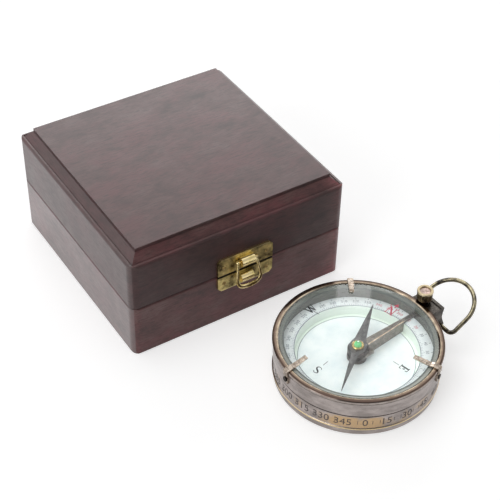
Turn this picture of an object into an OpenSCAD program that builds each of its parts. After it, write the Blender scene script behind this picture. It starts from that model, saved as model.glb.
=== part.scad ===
// Pocket compass beside its hinged wooden box.
// The origin is the centre of the box's underside, +Z is up and the latch faces -Y.

/* [Box] */
// Outside width and depth of the square box
box_w = 104; // [99:0.2:125]
// Height of the box base, up to the parting line
base_h = 25.3; // [24:0.1:34]
// Height of the lid's sides, from the parting line to the bead
lid_side_h = 23.4; // [22:0.1:32]
// Thickness of the side boards
wall_t = 9.5; // [9:0.1:10.5]
// Thickness of the floor board
floor_t = 4; // [3:0.1:5]
// How far the floor board laps into the sides
floor_lap = 4; // [2:0.1:6]
// Radius of the upright corners
corner_r = 4; // [2:0.1:5]
// Easing of the board edges at the parting line and underneath
edge_ease = 0.5; // [0.2:0.1:1]
// Gap between lid and base
lid_gap = 0.3; // [0.2:0.05:0.5]
// Play of boards and linings set into the sides
board_clear = 0.1; // [0.05:0.05:0.3]

/* [Lid top] */
// Distance from the lid's side to the raised field
field_inset = 5.1; // [4.6:0.1:6.5]
// Height of the raised field above the bead
field_rise = 4.7; // [4.2:0.1:5.5]
// Thickness of the raised board
panel_t = 6.5; // [5:0.1:8]
// Width of the rounded bead around the lid
bead_w = 1.9; // [1.7:0.1:2.3]
// Rounding of the bead
bead_r = 1.3; // [0.8:0.1:1.6]
// Rise of the sloping border from the bead to the field
border_rise = 3.1; // [2.4:0.1:3.6]

/* [Linings] */
// Height of the fitted lining's top above the floor board
lining_h = 17; // [14:0.5:18.5]
// Thickness of the lining under the compass
lining_floor = 2; // [1.5:0.1:3]
// Room around the compass in its pocket
pocket_clear = 0.8; // [0.5:0.1:1.5]
// Least width of the lining between the pocket and the sides
lining_edge = 2; // [1.5:0.1:2.5]
// Thickness of the lid's pad
lid_pad_t = 3; // [2:0.5:4]
// Rounding of the lid's pad
pad_round = 1; // [0.5:0.1:1.5]

/* [Hinges] */
// Distance of each hinge from the end of the back
hinge_end = 12.8; // [10:0.1:16]
// Length of a hinge
hinge_l = 20; // [16:0.5:24]
// Radius of the hinge barrels
barrel_r = 1.6; // [1.4:0.1:1.8]
// Radius of the hinge pins
hinge_pin_r = 0.8; // [0.6:0.05:0.9]
// Depth of the barrels' centre line inside the back face
hinge_in = 1.6; // [1.4:0.1:2]
// Width of a leaf
leaf_w = 6.2; // [5:0.1:6.4]
// Thickness of a leaf
leaf_t = 0.8; // [0.6:0.05:1]
// Slope of the two chamfers that stop the lid, above and below level
stop_slope = 48; // [46:1:55]
// Gap between the knuckles
knuckle_gap = 0.15; // [0.1:0.05:0.3]
// Running clearance of pins in their bores
pin_clear = 0.05; // [0.02:0.01:0.08]

/* [Latch] */
// Offset of the latch from the middle of the front
latch_x = 1.3; // [-5:0.1:5]
// Width of the two latch plates
plate_w = 27; // [24:0.5:32]
// Height of the upper plate
upper_plate_h = 9.3; // [8.8:0.1:11]
// Height of the lower plate
lower_plate_h = 7.5; // [6.5:0.1:9]
// Thickness of the plates
plate_t = 0.9; // [0.6:0.05:1]
// Cut corners of the plates
plate_cut = 1.6; // [0.8:0.1:2.2]
// Radius of the knuckle that the bail swings on
knuckle_r = 2.2; // [2:0.1:2.4]
// Length of the knuckle
knuckle_l = 6.4; // [5.6:0.1:6.6]
// Height of the bail's pivot above the parting line
bail_pivot_h = 5.7; // [5.4:0.1:6.2]
// Distance of the bail's pivot from the front face
bail_pivot_out = 2; // [1.9:0.05:2.2]
// Radius of the bail's pins
bail_pin_r = 0.65; // [0.5:0.05:0.75]
// Length of the bail from its pivot to the middle of the cross piece
bail_l = 13.2; // [13:0.1:14]
// Lean of the bail away from the box
bail_lean = 12.6; // [12.4:0.1:16]
// Half width of the bail's opening at the pivot
bail_top_half = 3.6; // [3.5:0.05:4]
// Half width of the bail's opening at the cross piece
bail_foot_half = 4.6; // [4.2:0.1:5.2]
// Width of the bail's strip
bail_strip = 1.9; // [1.4:0.1:2]
// Thickness of the bail's strip
bail_t = 0.9; // [0.6:0.05:1]
// Length of the catch's nose
nose_l = 6; // [5:0.1:6.6]
// Radius of the catch's nose
nose_r = 2.2; // [1.8:0.1:2.3]
// Depth of the nose's centre below the parting line
nose_drop = 3.4; // [3:0.1:3.6]
// Radius of the small nails in the plates
nail_r = 0.5; // [0.4:0.05:0.6]
// Radius of the nails' domed heads
nail_head_r = 0.95; // [0.8:0.05:1.1]
// Length of the nails and of the hinge screws
nail_l = 5; // [3:0.5:6]

/* [Compass case] */
// Place of the compass beside the box, to the right
compass_x = 21.5; // [-30:0.1:60]
// Place of the compass in front of the box
compass_y = -106.8; // [-140:0.1:-100]
// Radius of the case at its upper band
case_r = 34.5; // [34:0.1:34.8]
// Thickness of the case wall
case_wall = 3.3; // [3.1:0.1:3.6]
// Height of the case wall, without the bezel
case_h = 18; // [17.6:0.1:18.4]
// Depth of the grooves and steps turned in the case
turned_step = 0.25; // [0.1:0.05:0.35]
// Height of the bead around the foot
foot_bead_z = 3.5; // [3:0.1:4]
// Height of the groove between the two bands
band_groove_z = 10.6; // [9:0.1:11.4]
// Thickness of the bottom cover
cover_t = 1.4; // [1:0.1:1.8]
// Radius of the bottom cover
cover_r = 32.8; // [32.4:0.1:33.1]
// Close fit between round parts
turned_clear = 0.05; // [0.02:0.01:0.08]
// Outer radius of the bezel
bezel_r = 35; // [34.9:0.1:35.4]
// Width of the bezel
bezel_w = 2.5; // [2.2:0.05:2.7]
// Height of the bezel
bezel_h = 1.6; // [1.4:0.1:2]
// Thickness of the glass
glass_t = 1.25; // [1:0.05:1.4]
// Thickness of the packing ring under the glass
packing_t = 0.35; // [0.2:0.05:0.5]
// Inner radius of the packing ring
packing_in_r = 30.2; // [29.6:0.1:31]

/* [Claws] */
// Direction of the first of the three claws
claw_turn = 60; // [40:1:80]
// Distance of the back claw's tip from the centre
back_tip_r = 27.2; // [20:0.2:28]
// Distance of the left claw's tip from the centre
left_tip_r = 23.8; // [20:0.2:28]
// Distance of the front claw's tip from the centre
front_tip_r = 23.6; // [20:0.1:28]
// Sideways lean of the left claw's tip
left_lean = -2.6; // [-3:0.1:3]
// Sideways lean of the front claw's tip
front_lean = 1.4; // [-3:0.1:3]
// Width of a claw at the rim
claw_w = 2.6; // [2:0.1:3.4]
// Width of a claw at its tip
claw_tip_w = 1.9; // [1.4:0.1:2]
// Thickness of a claw
claw_t = 0.6; // [0.4:0.05:0.8]
// Height of a claw's lower end
claw_foot_z = 13.2; // [12.4:0.1:13.8]
// Height of the claw screws
claw_screw_z = 15.2; // [14.9:0.1:15.6]
// Radius of the claw screws
claw_screw_r = 0.6; // [0.5:0.05:0.7]
// Radius of the claw screws' heads
claw_head_r = 1.15; // [1:0.05:1.3]
// Depth of the claw screws in the case wall
claw_screw_in = 1.6; // [1.2:0.1:2]

/* [Dial] */
// Height of the dial plate's face
dial_z = 7.5; // [7.2:0.1:7.8]
// Thickness of the dial plate
dial_t = 0.8; // [0.6:0.05:1]
// Width of the ledge that carries the dial plate
dial_ledge = 2.7; // [2:0.1:3.5]
// Inner radius of the raised scale ring
scale_in_r = 25.6; // [25.4:0.1:26]
// Height of the raised scale ring's face
scale_z = 12.4; // [11.6:0.05:12.5]
// Thickness of the scale ring
scale_t = 0.8; // [0.6:0.05:1]

/* [Needle] */
// Radius of the pivot post
post_r = 1.4; // [1.2:0.05:1.5]
// Height of the pivot post's point
post_z = 15; // [14.8:0.05:15]
// Height of the needle's underside
needle_z = 14.15; // [14.1:0.05:14.2]
// Thickness of the needle
needle_t = 0.4; // [0.3:0.05:0.45]
// Half the length of the needle
needle_l = 25.8; // [22:0.1:26]
// Direction of the needle's north end
needle_turn = 39.7; // [0:0.1:360]
// Radius of the disc in the middle of the needle
needle_disc_r = 4; // [3:0.1:4.2]
// Width of the north blade where it leaves the disc
north_w = 4; // [3:0.1:5]
// Width of the south blade where it leaves the disc
south_w = 2.4; // [1.6:0.1:4]
// Radius of the brass collar
collar_r = 2.6; // [2.4:0.05:2.8]
// Radius of the jewel
jewel_r = 1.8; // [1.5:0.05:1.9]
// Height of the jewel above the collar
jewel_h = 0.9; // [0.7:0.05:0.9]

/* [Needle lock] */
// Direction of the lever and of the knob that works it
lever_turn = 6.5; // [4:0.1:8]
// Radius of the lifting drum
drum_r = 4.1; // [3.6:0.1:4.1]
// Height of the lifting drum's top
drum_top_z = 13.75; // [13.7:0.05:13.8]
// Width of the lever's flange at the drum
lever_w = 3.4; // [2.6:0.1:3.6]
// Width of the lever's flange where it meets the scale ring
lever_end_w = 1.9; // [1.6:0.1:2.2]
// Height of the lever's top
lever_z = 13.85; // [13.8:0.05:13.85]
// Thickness of the lever's sheet
lever_t = 0.5; // [0.4:0.05:0.6]
// Height of the lower edge of the lever's web
lever_foot_z = 8.1; // [7.9:0.1:9]
// Radius of the lever's fulcrum pin
fulcrum_pin_r = 0.3; // [0.25:0.01:0.32]
// Clearance around the lever's moving parts
lever_clear = 0.15; // [0.15:0.01:0.2]
// Distance of the knob's axis from the compass's centre
knob_at = 37; // [36.8:0.1:37.4]
// Radius of the lock's stem
stem_r = 1.2; // [1:0.05:1.3]
// Radius of the spindle that the knob turns on
spindle_r = 0.9; // [0.7:0.05:0.9]
// Radius of the knob
knob_r = 3.05; // [2.6:0.05:3.4]
// Height of the knob's underside
knob_z = 20.5; // [20:0.1:21]
// Height of the knob
knob_h = 4.4; // [4:0.1:5]
// Width of the knob's rim around its inlay
knob_rim = 0.75; // [0.5:0.05:0.9]

/* [Lug and ring] */
// Direction of the lug
lug_turn = 3.5; // [2:0.1:5]
// Half the length of the lug along the rim
lug_half = 6.4; // [6:0.1:6.8]
// Distance of the lug's outer face from the compass's centre
lug_face = 40.9; // [40.6:0.1:41.2]
// Height of the lug's top
lug_z = 19; // [18.6:0.1:19.4]
// Width of the raised strip along the lug's outer edge
lug_strip_w = 1.6; // [1:0.1:2]
// Height of the raised strip
lug_strip_h = 0.5; // [0.2:0.1:0.8]
// Height of the lower end of the lug's back plate
lug_foot_z = 3.9; // [3.8:0.1:4]
// Height of the screws that hold the lug
lug_screw_z = 4.8; // [4.7:0.05:4.85]
// Distance of the ring's pivot from the compass's centre
ring_at = 40; // [39.6:0.1:40.4]
// Height of the ring's pivot
ring_z = 9.5; // [9.2:0.1:10]
// Radius of the lug's barrel around the ring's pivot
lug_barrel_r = 1.8; // [1.6:0.1:2.2]
// Radius of the ring's wire
wire_r = 0.95; // [0.8:0.05:1]
// Radius of the bends beside the lug
ring_bend_r = 2.4; // [2:0.1:2.8]
// Radius of the ring's bow
ring_bow_r = 11.4; // [11.2:0.1:12]
// Distance from the pivot to the middle of the bow
ring_reach = 9; // [7:0.1:10]
// Play of the ring's pins in the lug, taken up towards the front
ring_shift = 1.8; // [0:0.1:2]
// Raised angle at which the ring stands
ring_rise = 30; // [20:1:50]

/* [Hidden] */
$fn = 64;
cut = 1;
half = box_w / 2;
cavity = box_w - 2 * wall_t;
lid_z = base_h + lid_gap;
hinge_z = base_h + lid_gap / 2;
hinge_y = half - hinge_in;
hinge_x = half - hinge_end - hinge_l / 2;
bead_z = base_h + lid_side_h;
field_z = bead_z + field_rise;
panel_z = field_z - panel_t;
screw_clear = 0.03;
hinge_hole_offset = hinge_l * 0.28;
knuckle_part = hinge_l / 4;
leaf_hole_in = leaf_w * 0.65;
screw_head_r = 1.25;
bead_groove = 0.3;
case_in_r = case_r - case_wall;
glass_seat_r = bezel_r - bezel_w - 2 * turned_clear;
glass_r = glass_seat_r - turned_clear;
glass_z = case_h + bezel_h - 0.4 - glass_t;
packing_z = glass_z - packing_t;
bezel_top = case_h + bezel_h;
claw_back_r = bezel_r + turned_clear;
claw_top_z = bezel_top + turned_clear;
claw_out_r = claw_back_r + claw_t;
pocket_r = claw_out_r + claw_head_r / 2 + pocket_clear;
pocket_shift = cavity / 2 - board_clear - lining_edge - pocket_r;
pocket_floor_z = floor_t + lining_floor;
bay_reach = ring_at + lug_barrel_r + pocket_clear;
bay_half = ring_bow_r + ring_shift + wire_r + pocket_clear;
fulcrum_at = case_in_r + 1.35;
fulcrum_z = lever_z - 0.55;
fulcrum_half = 2.6;
fork_z = 10.1;
fork_t = 1.2;
neck_r = 2.7;
fork_end = drum_r + 1.5;
tongue_z = scale_z + 0.3;
tongue_end = knob_at + 1.2;
tongue_play = 0.12;
stem_z = lever_z + 0.05;
notch_w = 5;
notch_z = stem_z + 1.3;
spindle_top = knob_z + 2.4;
inlay_z = knob_z + knob_h - 1.3;
pin_depth = 2.6;

// Square block with round upright corners, centred on the origin.
module rounded_block(w, r, h) {
    translate([-w / 2, -w / 2 + r, 0]) cube([w, w - 2 * r, h]);
    translate([-w / 2 + r, -w / 2, 0]) cube([w - 2 * r, w, h]);
    for (x = [-1, 1], y = [-1, 1])
        translate([x * (w / 2 - r), y * (w / 2 - r), 0]) cylinder(r = r, h = h);
}

// One mitred side board from its section, drawn as [distance in from the face, height].
module side_board(turn, section) {
    rotate([0, 0, turn]) intersection() {
        translate([-half, -half, 0]) rotate([90, 0, 90])
            linear_extrude(box_w) polygon(section);
        linear_extrude(3 * box_w) polygon([[0, 0], [-half, -half], [half, -half]]);
        rounded_block(box_w, corner_r, 3 * box_w);
    }
}

base_section = [
    [edge_ease, 0], [0, edge_ease], [0, base_h - edge_ease], [edge_ease, base_h],
    [wall_t, base_h], [wall_t, floor_t], [wall_t - floor_lap, floor_t], [wall_t - floor_lap, 0]
];

lid_section = concat(
    [[edge_ease, lid_z], [0, lid_z + edge_ease]],
    [for (a = [0:15:90]) [bead_r * (1 - cos(a)), bead_z - bead_r * (1 - sin(a))]],
    [
        [bead_w - bead_groove, bead_z], [bead_w, bead_z - bead_groove],
        [bead_w + bead_groove, bead_z], [field_inset, bead_z + border_rise],
        [field_inset, panel_z], [wall_t, panel_z], [wall_t, lid_z]
    ]
);

// The chamfer along the back edge that stops the lid; side is -1 for the base, 1 for the lid.
module stop_chamfer(side) {
    flare = (hinge_in + cut) * tan(stop_slope);
    translate([-half - cut, 0, 0]) rotate([90, 0, 90]) linear_extrude(box_w + 2 * cut)
        polygon([[hinge_y, hinge_z], [half + cut, hinge_z + side * flare], [half + cut, hinge_z]]);
}

// Removes from a back board the chamfer, the hinge mortises and the screw holes.
module back_cuts(side) {
    stop_chamfer(side);
    for (x = [-hinge_x, hinge_x]) {
        translate([x - hinge_l / 2 - screw_clear, hinge_y, hinge_z]) rotate([0, 90, 0])
            cylinder(r = barrel_r + knuckle_gap, h = hinge_l + 2 * screw_clear);
        leaf_space(x, side);
        for (s = [-1, 1]) at_leaf_hole(x + s * hinge_hole_offset, side)
            hinge_screw(screw_clear);
    }
}

// The mortise that a leaf lies in.
module leaf_space(x, side) {
    z = side < 0 ? base_h - leaf_t : lid_z - cut;
    translate([x - hinge_l / 2 - screw_clear, hinge_y - leaf_w - screw_clear, z])
        cube([hinge_l + 2 * screw_clear, leaf_w + screw_clear, leaf_t + cut]);
}

// Puts a screw with its head up at the leaf's face, and turns it over for the lid.
module at_leaf_hole(x, side) {
    translate([x, hinge_y - leaf_hole_in, side < 0 ? base_h : lid_z])
        rotate([side < 0 ? 0 : 180, 0, 0]) children();
}

module hinge_screw(grow) {
    translate([0, 0, -nail_l]) cylinder(r = nail_r + grow, h = nail_l);
    translate([0, 0, -leaf_t])
        cylinder(r1 = nail_r + grow, r2 = screw_head_r + grow, h = leaf_t);
}

module base_hinge_leaf(x) {
    difference() {
        union() {
            translate([x - hinge_l / 2, hinge_y - leaf_w, base_h - leaf_t])
                cube([hinge_l, leaf_w, leaf_t]);
            knuckles(x, [-1, 1]);
        }
        knuckle_room(x - knuckle_part - knuckle_gap, 2 * (knuckle_part + knuckle_gap));
        pin_bore(x);
        for (s = [-1, 1]) at_leaf_hole(x + s * hinge_hole_offset, -1) hinge_screw(screw_clear);
    }
}

module lid_hinge_leaf(x) {
    difference() {
        union() {
            translate([x - hinge_l / 2, hinge_y - leaf_w, lid_z]) cube([hinge_l, leaf_w, leaf_t]);
            translate([x - knuckle_part, hinge_y, hinge_z]) rotate([0, 90, 0])
                cylinder(r = barrel_r, h = 2 * knuckle_part);
        }
        knuckle_room(x - hinge_l / 2 - cut, knuckle_part + knuckle_gap + cut);
        knuckle_room(x + knuckle_part - knuckle_gap, knuckle_part + knuckle_gap + cut);
        pin_bore(x);
        for (s = [-1, 1]) at_leaf_hole(x + s * hinge_hole_offset, 1) hinge_screw(screw_clear);
    }
}

module knuckles(x, ends) {
    for (s = ends) translate([x + s * 1.5 * knuckle_part - knuckle_part / 2, hinge_y, hinge_z])
        rotate([0, 90, 0]) cylinder(r = barrel_r, h = knuckle_part);
}

module knuckle_room(x, l) {
    translate([x, hinge_y, hinge_z]) rotate([0, 90, 0])
        cylinder(r = barrel_r + knuckle_gap, h = l);
}

module pin_bore(x) {
    translate([x - hinge_l / 2 - cut, hinge_y, hinge_z]) rotate([0, 90, 0])
        cylinder(r = hinge_pin_r + pin_clear, h = hinge_l + 2 * cut);
}

module hinge_pin(x) {
    translate([x - hinge_l / 2, hinge_y, hinge_z]) rotate([0, 90, 0])
        cylinder(r = hinge_pin_r, h = hinge_l);
}

module leaf_screws(side) {
    for (x = [-hinge_x, hinge_x], s = [-1, 1])
        at_leaf_hole(x + s * hinge_hole_offset, side) hinge_screw(0);
}

// Box base
module base_front_wall() {
    color("#46241f") difference() {
        side_board(0, base_section);
        nails(base_h - lower_plate_h / 2, screw_clear);
    }
}
module base_back_wall() {
    color("#46241f") difference() {
        side_board(180, base_section);
        back_cuts(-1);
    }
}
module base_left_wall() {
    color("#46241f") difference() {
        side_board(-90, base_section);
        stop_chamfer(-1);
    }
}
module base_right_wall() {
    color("#46241f") difference() {
        side_board(90, base_section);
        stop_chamfer(-1);
    }
}
module base_floor() {
    w = cavity + 2 * (floor_lap - board_clear);
    color("#3a1e1a") translate([-w / 2, -w / 2, 0]) cube([w, w, floor_t]);
}

// Soft block in the base with a pocket for the compass and a bay for its lug and ring.
module base_lining() {
    w = cavity - 2 * board_clear;
    color("#5a1420") difference() {
        translate([-w / 2, -w / 2, floor_t]) cube([w, w, lining_h]);
        translate([-pocket_shift, -pocket_shift, pocket_floor_z]) {
            cylinder(r = pocket_r, h = lining_h);
            rotate([0, 0, 45]) translate([0, -bay_half, 0])
                cube([bay_reach, 2 * bay_half, lining_h]);
        }
    }
}

// Lid
module lid_front_wall() {
    color("#46241f") difference() {
        side_board(0, lid_section);
        nails(lid_z + upper_plate_h / 2, screw_clear);
    }
}
module lid_back_wall() {
    color("#46241f") difference() {
        side_board(180, lid_section);
        back_cuts(1);
    }
}
module lid_left_wall() {
    color("#46241f") difference() {
        side_board(-90, lid_section);
        stop_chamfer(1);
    }
}
module lid_right_wall() {
    color("#46241f") difference() {
        side_board(90, lid_section);
        stop_chamfer(1);
    }
}
module lid_panel() {
    w = box_w - 2 * (field_inset + board_clear);
    color("#4d2a24") translate([-w / 2, -w / 2, panel_z]) cube([w, w, panel_t]);
}

// Flat pad under the lid, with a rounded lower edge.
module lid_lining() {
    w = cavity - 2 * board_clear;
    color("#5a1420") translate([0, 0, panel_z - lid_pad_t]) hull() {
        translate([0, 0, pad_round]) rounded_block(w, pad_round, lid_pad_t - pad_round);
        rounded_block(w - 2 * pad_round, pad_round, pad_round);
    }
}

// Latch: the plates lie on the front face, and out is the distance from it.
module on_front() { translate([latch_x, -half, 0]) rotate([90, 0, 0]) children(); }

module plate_outline(low, high, flip) {
    w = plate_w / 2;
    translate([0, flip < 0 ? high : low]) scale([1, flip]) polygon([
        [-w, 0], [w, 0], [w, high - low - plate_cut], [w - plate_cut, high - low],
        [plate_cut - w, high - low], [-w, high - low - plate_cut]
    ]);
}

module nails(z, grow) {
    on_front() for (s = [-1, 1]) translate([s * (plate_w / 2 - 3), z, -nail_l])
        cylinder(r = nail_r + grow, h = nail_l + plate_t + cut);
}

module nail_set(z) {
    on_front() for (s = [-1, 1]) translate([s * (plate_w / 2 - 3), z, 0]) {
        translate([0, 0, -nail_l]) cylinder(r = nail_r, h = nail_l + plate_t);
        translate([0, 0, plate_t]) intersection() {
            translate([0, 0, -nail_head_r / 2]) sphere(r = nail_head_r * 1.118);
            cylinder(r = nail_head_r, h = nail_head_r);
        }
    }
}

module across(r, l) { rotate([0, 90, 0]) translate([0, 0, -l / 2]) cylinder(r = r, h = l); }

module latch_plate() {
    color("#a98a45") difference() {
        on_front() {
            linear_extrude(plate_t)
                plate_outline(lid_z, lid_z + upper_plate_h, 1);
            intersection() {
                translate([0, base_h + bail_pivot_h, bail_pivot_out]) across(knuckle_r, knuckle_l);
                translate([-knuckle_l, lid_z, 0]) cube([2 * knuckle_l, box_w, box_w]);
            }
        }
        on_front() translate([0, base_h + bail_pivot_h, bail_pivot_out])
            across(bail_pin_r + pin_clear, 2 * knuckle_l);
        nails(lid_z + upper_plate_h / 2, screw_clear);
    }
}

module catch_plate() {
    color("#a98a45") difference() {
        on_front() {
            linear_extrude(plate_t) plate_outline(base_h - lower_plate_h, base_h - 0.2, -1);
            intersection() {
                translate([0, base_h - nose_drop, 1.4]) across(nose_r, nose_l);
                translate([-nose_l, 0, 0]) cube([2 * nose_l, box_w, box_w]);
            }
        }
        nails(base_h - lower_plate_h / 2, screw_clear);
    }
}

module catch_nails() { color("#8a6c34") nail_set(base_h - lower_plate_h / 2); }
module latch_nails() { color("#8a6c34") nail_set(lid_z + upper_plate_h / 2); }

// Outline of the bail in its own plane, from the pivot down, grown for its outer edge.
module bail_outline(grow, foot) {
    top = bail_top_half + grow;
    low = bail_foot_half + grow;
    r = 1.2 + grow / 2;
    polygon([[-top, 0], [top, 0], [low, r - foot], [low - r, -foot], [r - low, -foot], [-low, r - foot]]);
    for (s = [-1, 1]) translate([s * (low - r), r - foot]) circle(r = r);
}

module latch_bail() {
    leg = bail_strip * 0.7;
    color("#b89a55") on_front() translate([0, base_h + bail_pivot_h, bail_pivot_out])
        rotate([-bail_lean, 0, 0]) {
            translate([0, 0, -bail_t / 2]) linear_extrude(bail_t) difference() {
                bail_outline(leg, bail_l + bail_strip / 2);
                bail_outline(0, bail_l - bail_strip / 2);
            }
            for (s = [-1, 1]) {
                translate([s * (bail_top_half + leg / 2), 0, 0]) across(0.95, leg);
                translate([s * (bail_top_half + leg - 1.6), 0, 0]) across(bail_pin_r, 3.2);
            }
        }
}

// Compass: every part stands on the compass's own axis.
module on_compass() { translate([compass_x, compass_y, 0]) children(); }
module along(turn) { on_compass() rotate([0, 0, turn]) children(); }

module lever_slot(reach) {
    w = lever_end_w + 2 * lever_clear;
    translate([case_in_r - 2, -w / 2, tongue_z - lever_clear])
        cube([reach - case_in_r + 2, w, lever_z + 2 * lever_clear - tongue_z]);
}

module lug_screw_shape(grow) {
    for (s = [-1, 1]) translate([0, s * 4, lug_screw_z]) rotate([0, 90, 0])
        translate([0, 0, case_in_r - 1]) {
            cylinder(r = 0.55 + grow, h = case_wall + 2.2);
            cylinder(r = 0.85 + grow, h = 0.9 + grow);
        }
}

module claw_screw_hole() {
    translate([case_r - claw_screw_in, 0, claw_screw_z]) rotate([0, 90, 0])
        cylinder(r = claw_screw_r + screw_clear, h = claw_screw_in + 3 * claw_t);
}

module fulcrum(grow) {
    translate([fulcrum_at, 0, fulcrum_z]) rotate([90, 0, 0])
        translate([0, 0, -fulcrum_half]) cylinder(r = fulcrum_pin_r + grow, h = 2 * fulcrum_half);
}

module case_body() {
    s = turned_step;
    ledge_low = dial_z - dial_t - 1;
    color("#6d5a50") difference() {
        on_compass() rotate_extrude($fn = 180) polygon([
            [cover_r + turned_clear, 0], [case_r - 0.8, 0], [case_r - 0.4, 0.4],
            [case_r - 0.4, foot_bead_z - 0.5], [case_r + 0.1, foot_bead_z - 0.2],
            [case_r + 0.1, foot_bead_z + 0.2], [case_r - s, foot_bead_z + 0.5],
            [case_r - s, band_groove_z - 0.3], [case_r - 2 * s, band_groove_z - 0.2],
            [case_r - 2 * s, band_groove_z + 0.2], [case_r, band_groove_z + 0.5],
            [case_r, case_h], [glass_seat_r, case_h], [glass_seat_r, packing_z],
            [case_in_r, packing_z], [case_in_r, dial_z - dial_t],
            [case_in_r - dial_ledge, dial_z - dial_t], [case_in_r - dial_ledge, ledge_low],
            [case_in_r, ledge_low], [case_in_r, cover_t],
            [cover_r + turned_clear, cover_t]
        ]);
        along(lever_turn) lever_slot(tongue_end);
        along(lever_turn) fulcrum(screw_clear);
        along(lug_turn) lug_screw_shape(screw_clear);
        for (i = [0:2]) along(claw_turn + i * 120) claw_screw_hole();
    }
}

module bottom_cover() {
    color("#5d4b40") on_compass() cylinder(r = cover_r, h = cover_t, $fn = 180);
}

module bezel() {
    r = bezel_h / 2;
    low = case_h;
    color("#7a5a46") on_compass() rotate_extrude($fn = 180) polygon(concat(
        [[bezel_r - bezel_w, low], [bezel_r - 0.2, low]],
        [for (a = [-75:15:75]) [bezel_r - 0.5 + 0.5 * cos(a), low + r + r * sin(a)]],
        [[bezel_r - bezel_w + 0.5, low + bezel_h], [bezel_r - bezel_w, low + bezel_h - 0.4]]
    ));
}

module glass() {
    color([0.85, 0.95, 0.92, 0.35]) on_compass() translate([0, 0, glass_z])
        cylinder(r = glass_r, h = glass_t, $fn = 180);
}

module packing_ring() {
    color("#30302c") on_compass() translate([0, 0, packing_z]) difference() {
        cylinder(r = glass_r - 0.1, h = packing_t, $fn = 180);
        translate([0, 0, -cut])
            cylinder(r = packing_in_r, h = packing_t + 2 * cut, $fn = 180);
    }
}

// Strip that lies on the glass, goes over the bezel and down to the case wall.
module claw(turn, tip_r, lean) {
    under = glass_z + glass_t + 0.02;
    wall = case_r + screw_clear;
    rim = bezel_r - bezel_w;
    t = claw_t;
    color("#b07c5c") along(turn) difference() {
        intersection() {
            rotate([90, 0, 0]) translate([0, 0, -2 * claw_w]) linear_extrude(4 * claw_w) polygon([
                [tip_r, under], [rim - 1, under], [rim + 0.3, claw_top_z],
                [claw_back_r - 0.4, claw_top_z], [claw_back_r, claw_top_z - 0.4],
                [claw_back_r, case_h - 0.2], [wall, case_h - 1], [wall, claw_foot_z],
                [wall + t, claw_foot_z], [wall + t, case_h - 1.2], [claw_out_r, case_h - 0.4],
                [claw_out_r, claw_top_z], [claw_back_r, claw_top_z + t],
                [rim, claw_top_z + t], [rim - 1.2, under + t], [tip_r, under + t * 0.8]
            ]);
            linear_extrude(box_w) polygon([
                [tip_r - 1, lean - claw_tip_w / 2], [case_r, -claw_w / 2], [case_r + 3, -claw_w / 2],
                [case_r + 3, claw_w / 2], [case_r, claw_w / 2], [tip_r - 1, lean + claw_tip_w / 2]
            ]);
        }
        claw_screw_hole();
    }
}
module back_claw() { claw(claw_turn, back_tip_r, 0); }
module left_claw() { claw(claw_turn + 120, left_tip_r, left_lean); }
module front_claw() { claw(claw_turn + 240, front_tip_r, front_lean); }

module claw_screws() {
    color("#2e2622") for (i = [0:2]) along(claw_turn + i * 120)
        translate([case_r - claw_screw_in, 0, claw_screw_z]) rotate([0, 90, 0]) {
            cylinder(r = claw_screw_r, h = claw_screw_in + screw_clear + claw_t);
            translate([0, 0, claw_screw_in + screw_clear + claw_t]) difference() {
                cylinder(r = claw_head_r, h = claw_head_r / 2);
                translate([-claw_head_r / 8, -claw_head_r * 2, claw_head_r / 4])
                    cube([claw_head_r / 4, claw_head_r * 4, claw_head_r]);
            }
        }
}

module dial_plate() {
    color("#eef3f2") on_compass() translate([0, 0, dial_z - dial_t]) difference() {
        cylinder(r = case_in_r - turned_clear, h = dial_t, $fn = 180);
        translate([0, 0, -cut]) cylinder(r = post_r + turned_clear, h = dial_t + 2 * cut);
    }
}

module scale_ring() {
    r = scale_in_r;
    rim = case_in_r - turned_clear;
    color("#d5ded8") on_compass() rotate_extrude($fn = 180) polygon([
        [r, dial_z], [r + scale_t, dial_z], [r + scale_t, scale_z - scale_t],
        [rim, scale_z - scale_t], [rim, scale_z], [r, scale_z]
    ]);
}

module pivot_post() {
    low = dial_z - dial_t;
    color("#8c8f92") on_compass() rotate_extrude() polygon([
        [0, low - 0.8], [post_r + 1, low - 0.8], [post_r + 1, low], [post_r, low],
        [post_r, post_z - 2], [0.12, post_z - 0.1], [0, post_z]
    ]);
}

module fulcrum_pin() { color("#8c8f92") along(lever_turn) fulcrum(0); }

// Drum that the lever's fork lifts; its top raises the needle off its point.
module lift_drum() {
    low = dial_z + 0.2;
    color("#4a4038") on_compass() rotate_extrude() polygon([
        [post_r + turned_clear, low], [drum_r - 0.3, low], [drum_r, low + 0.3],
        [drum_r, fork_z - lever_clear], [neck_r, fork_z - lever_clear],
        [neck_r, fork_z + fork_t + lever_clear], [drum_r, fork_z + fork_t + lever_clear],
        [drum_r, drum_top_z - 0.3], [drum_r - 0.3, drum_top_z], [post_r + turned_clear, drum_top_z]
    ]);
}

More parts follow.
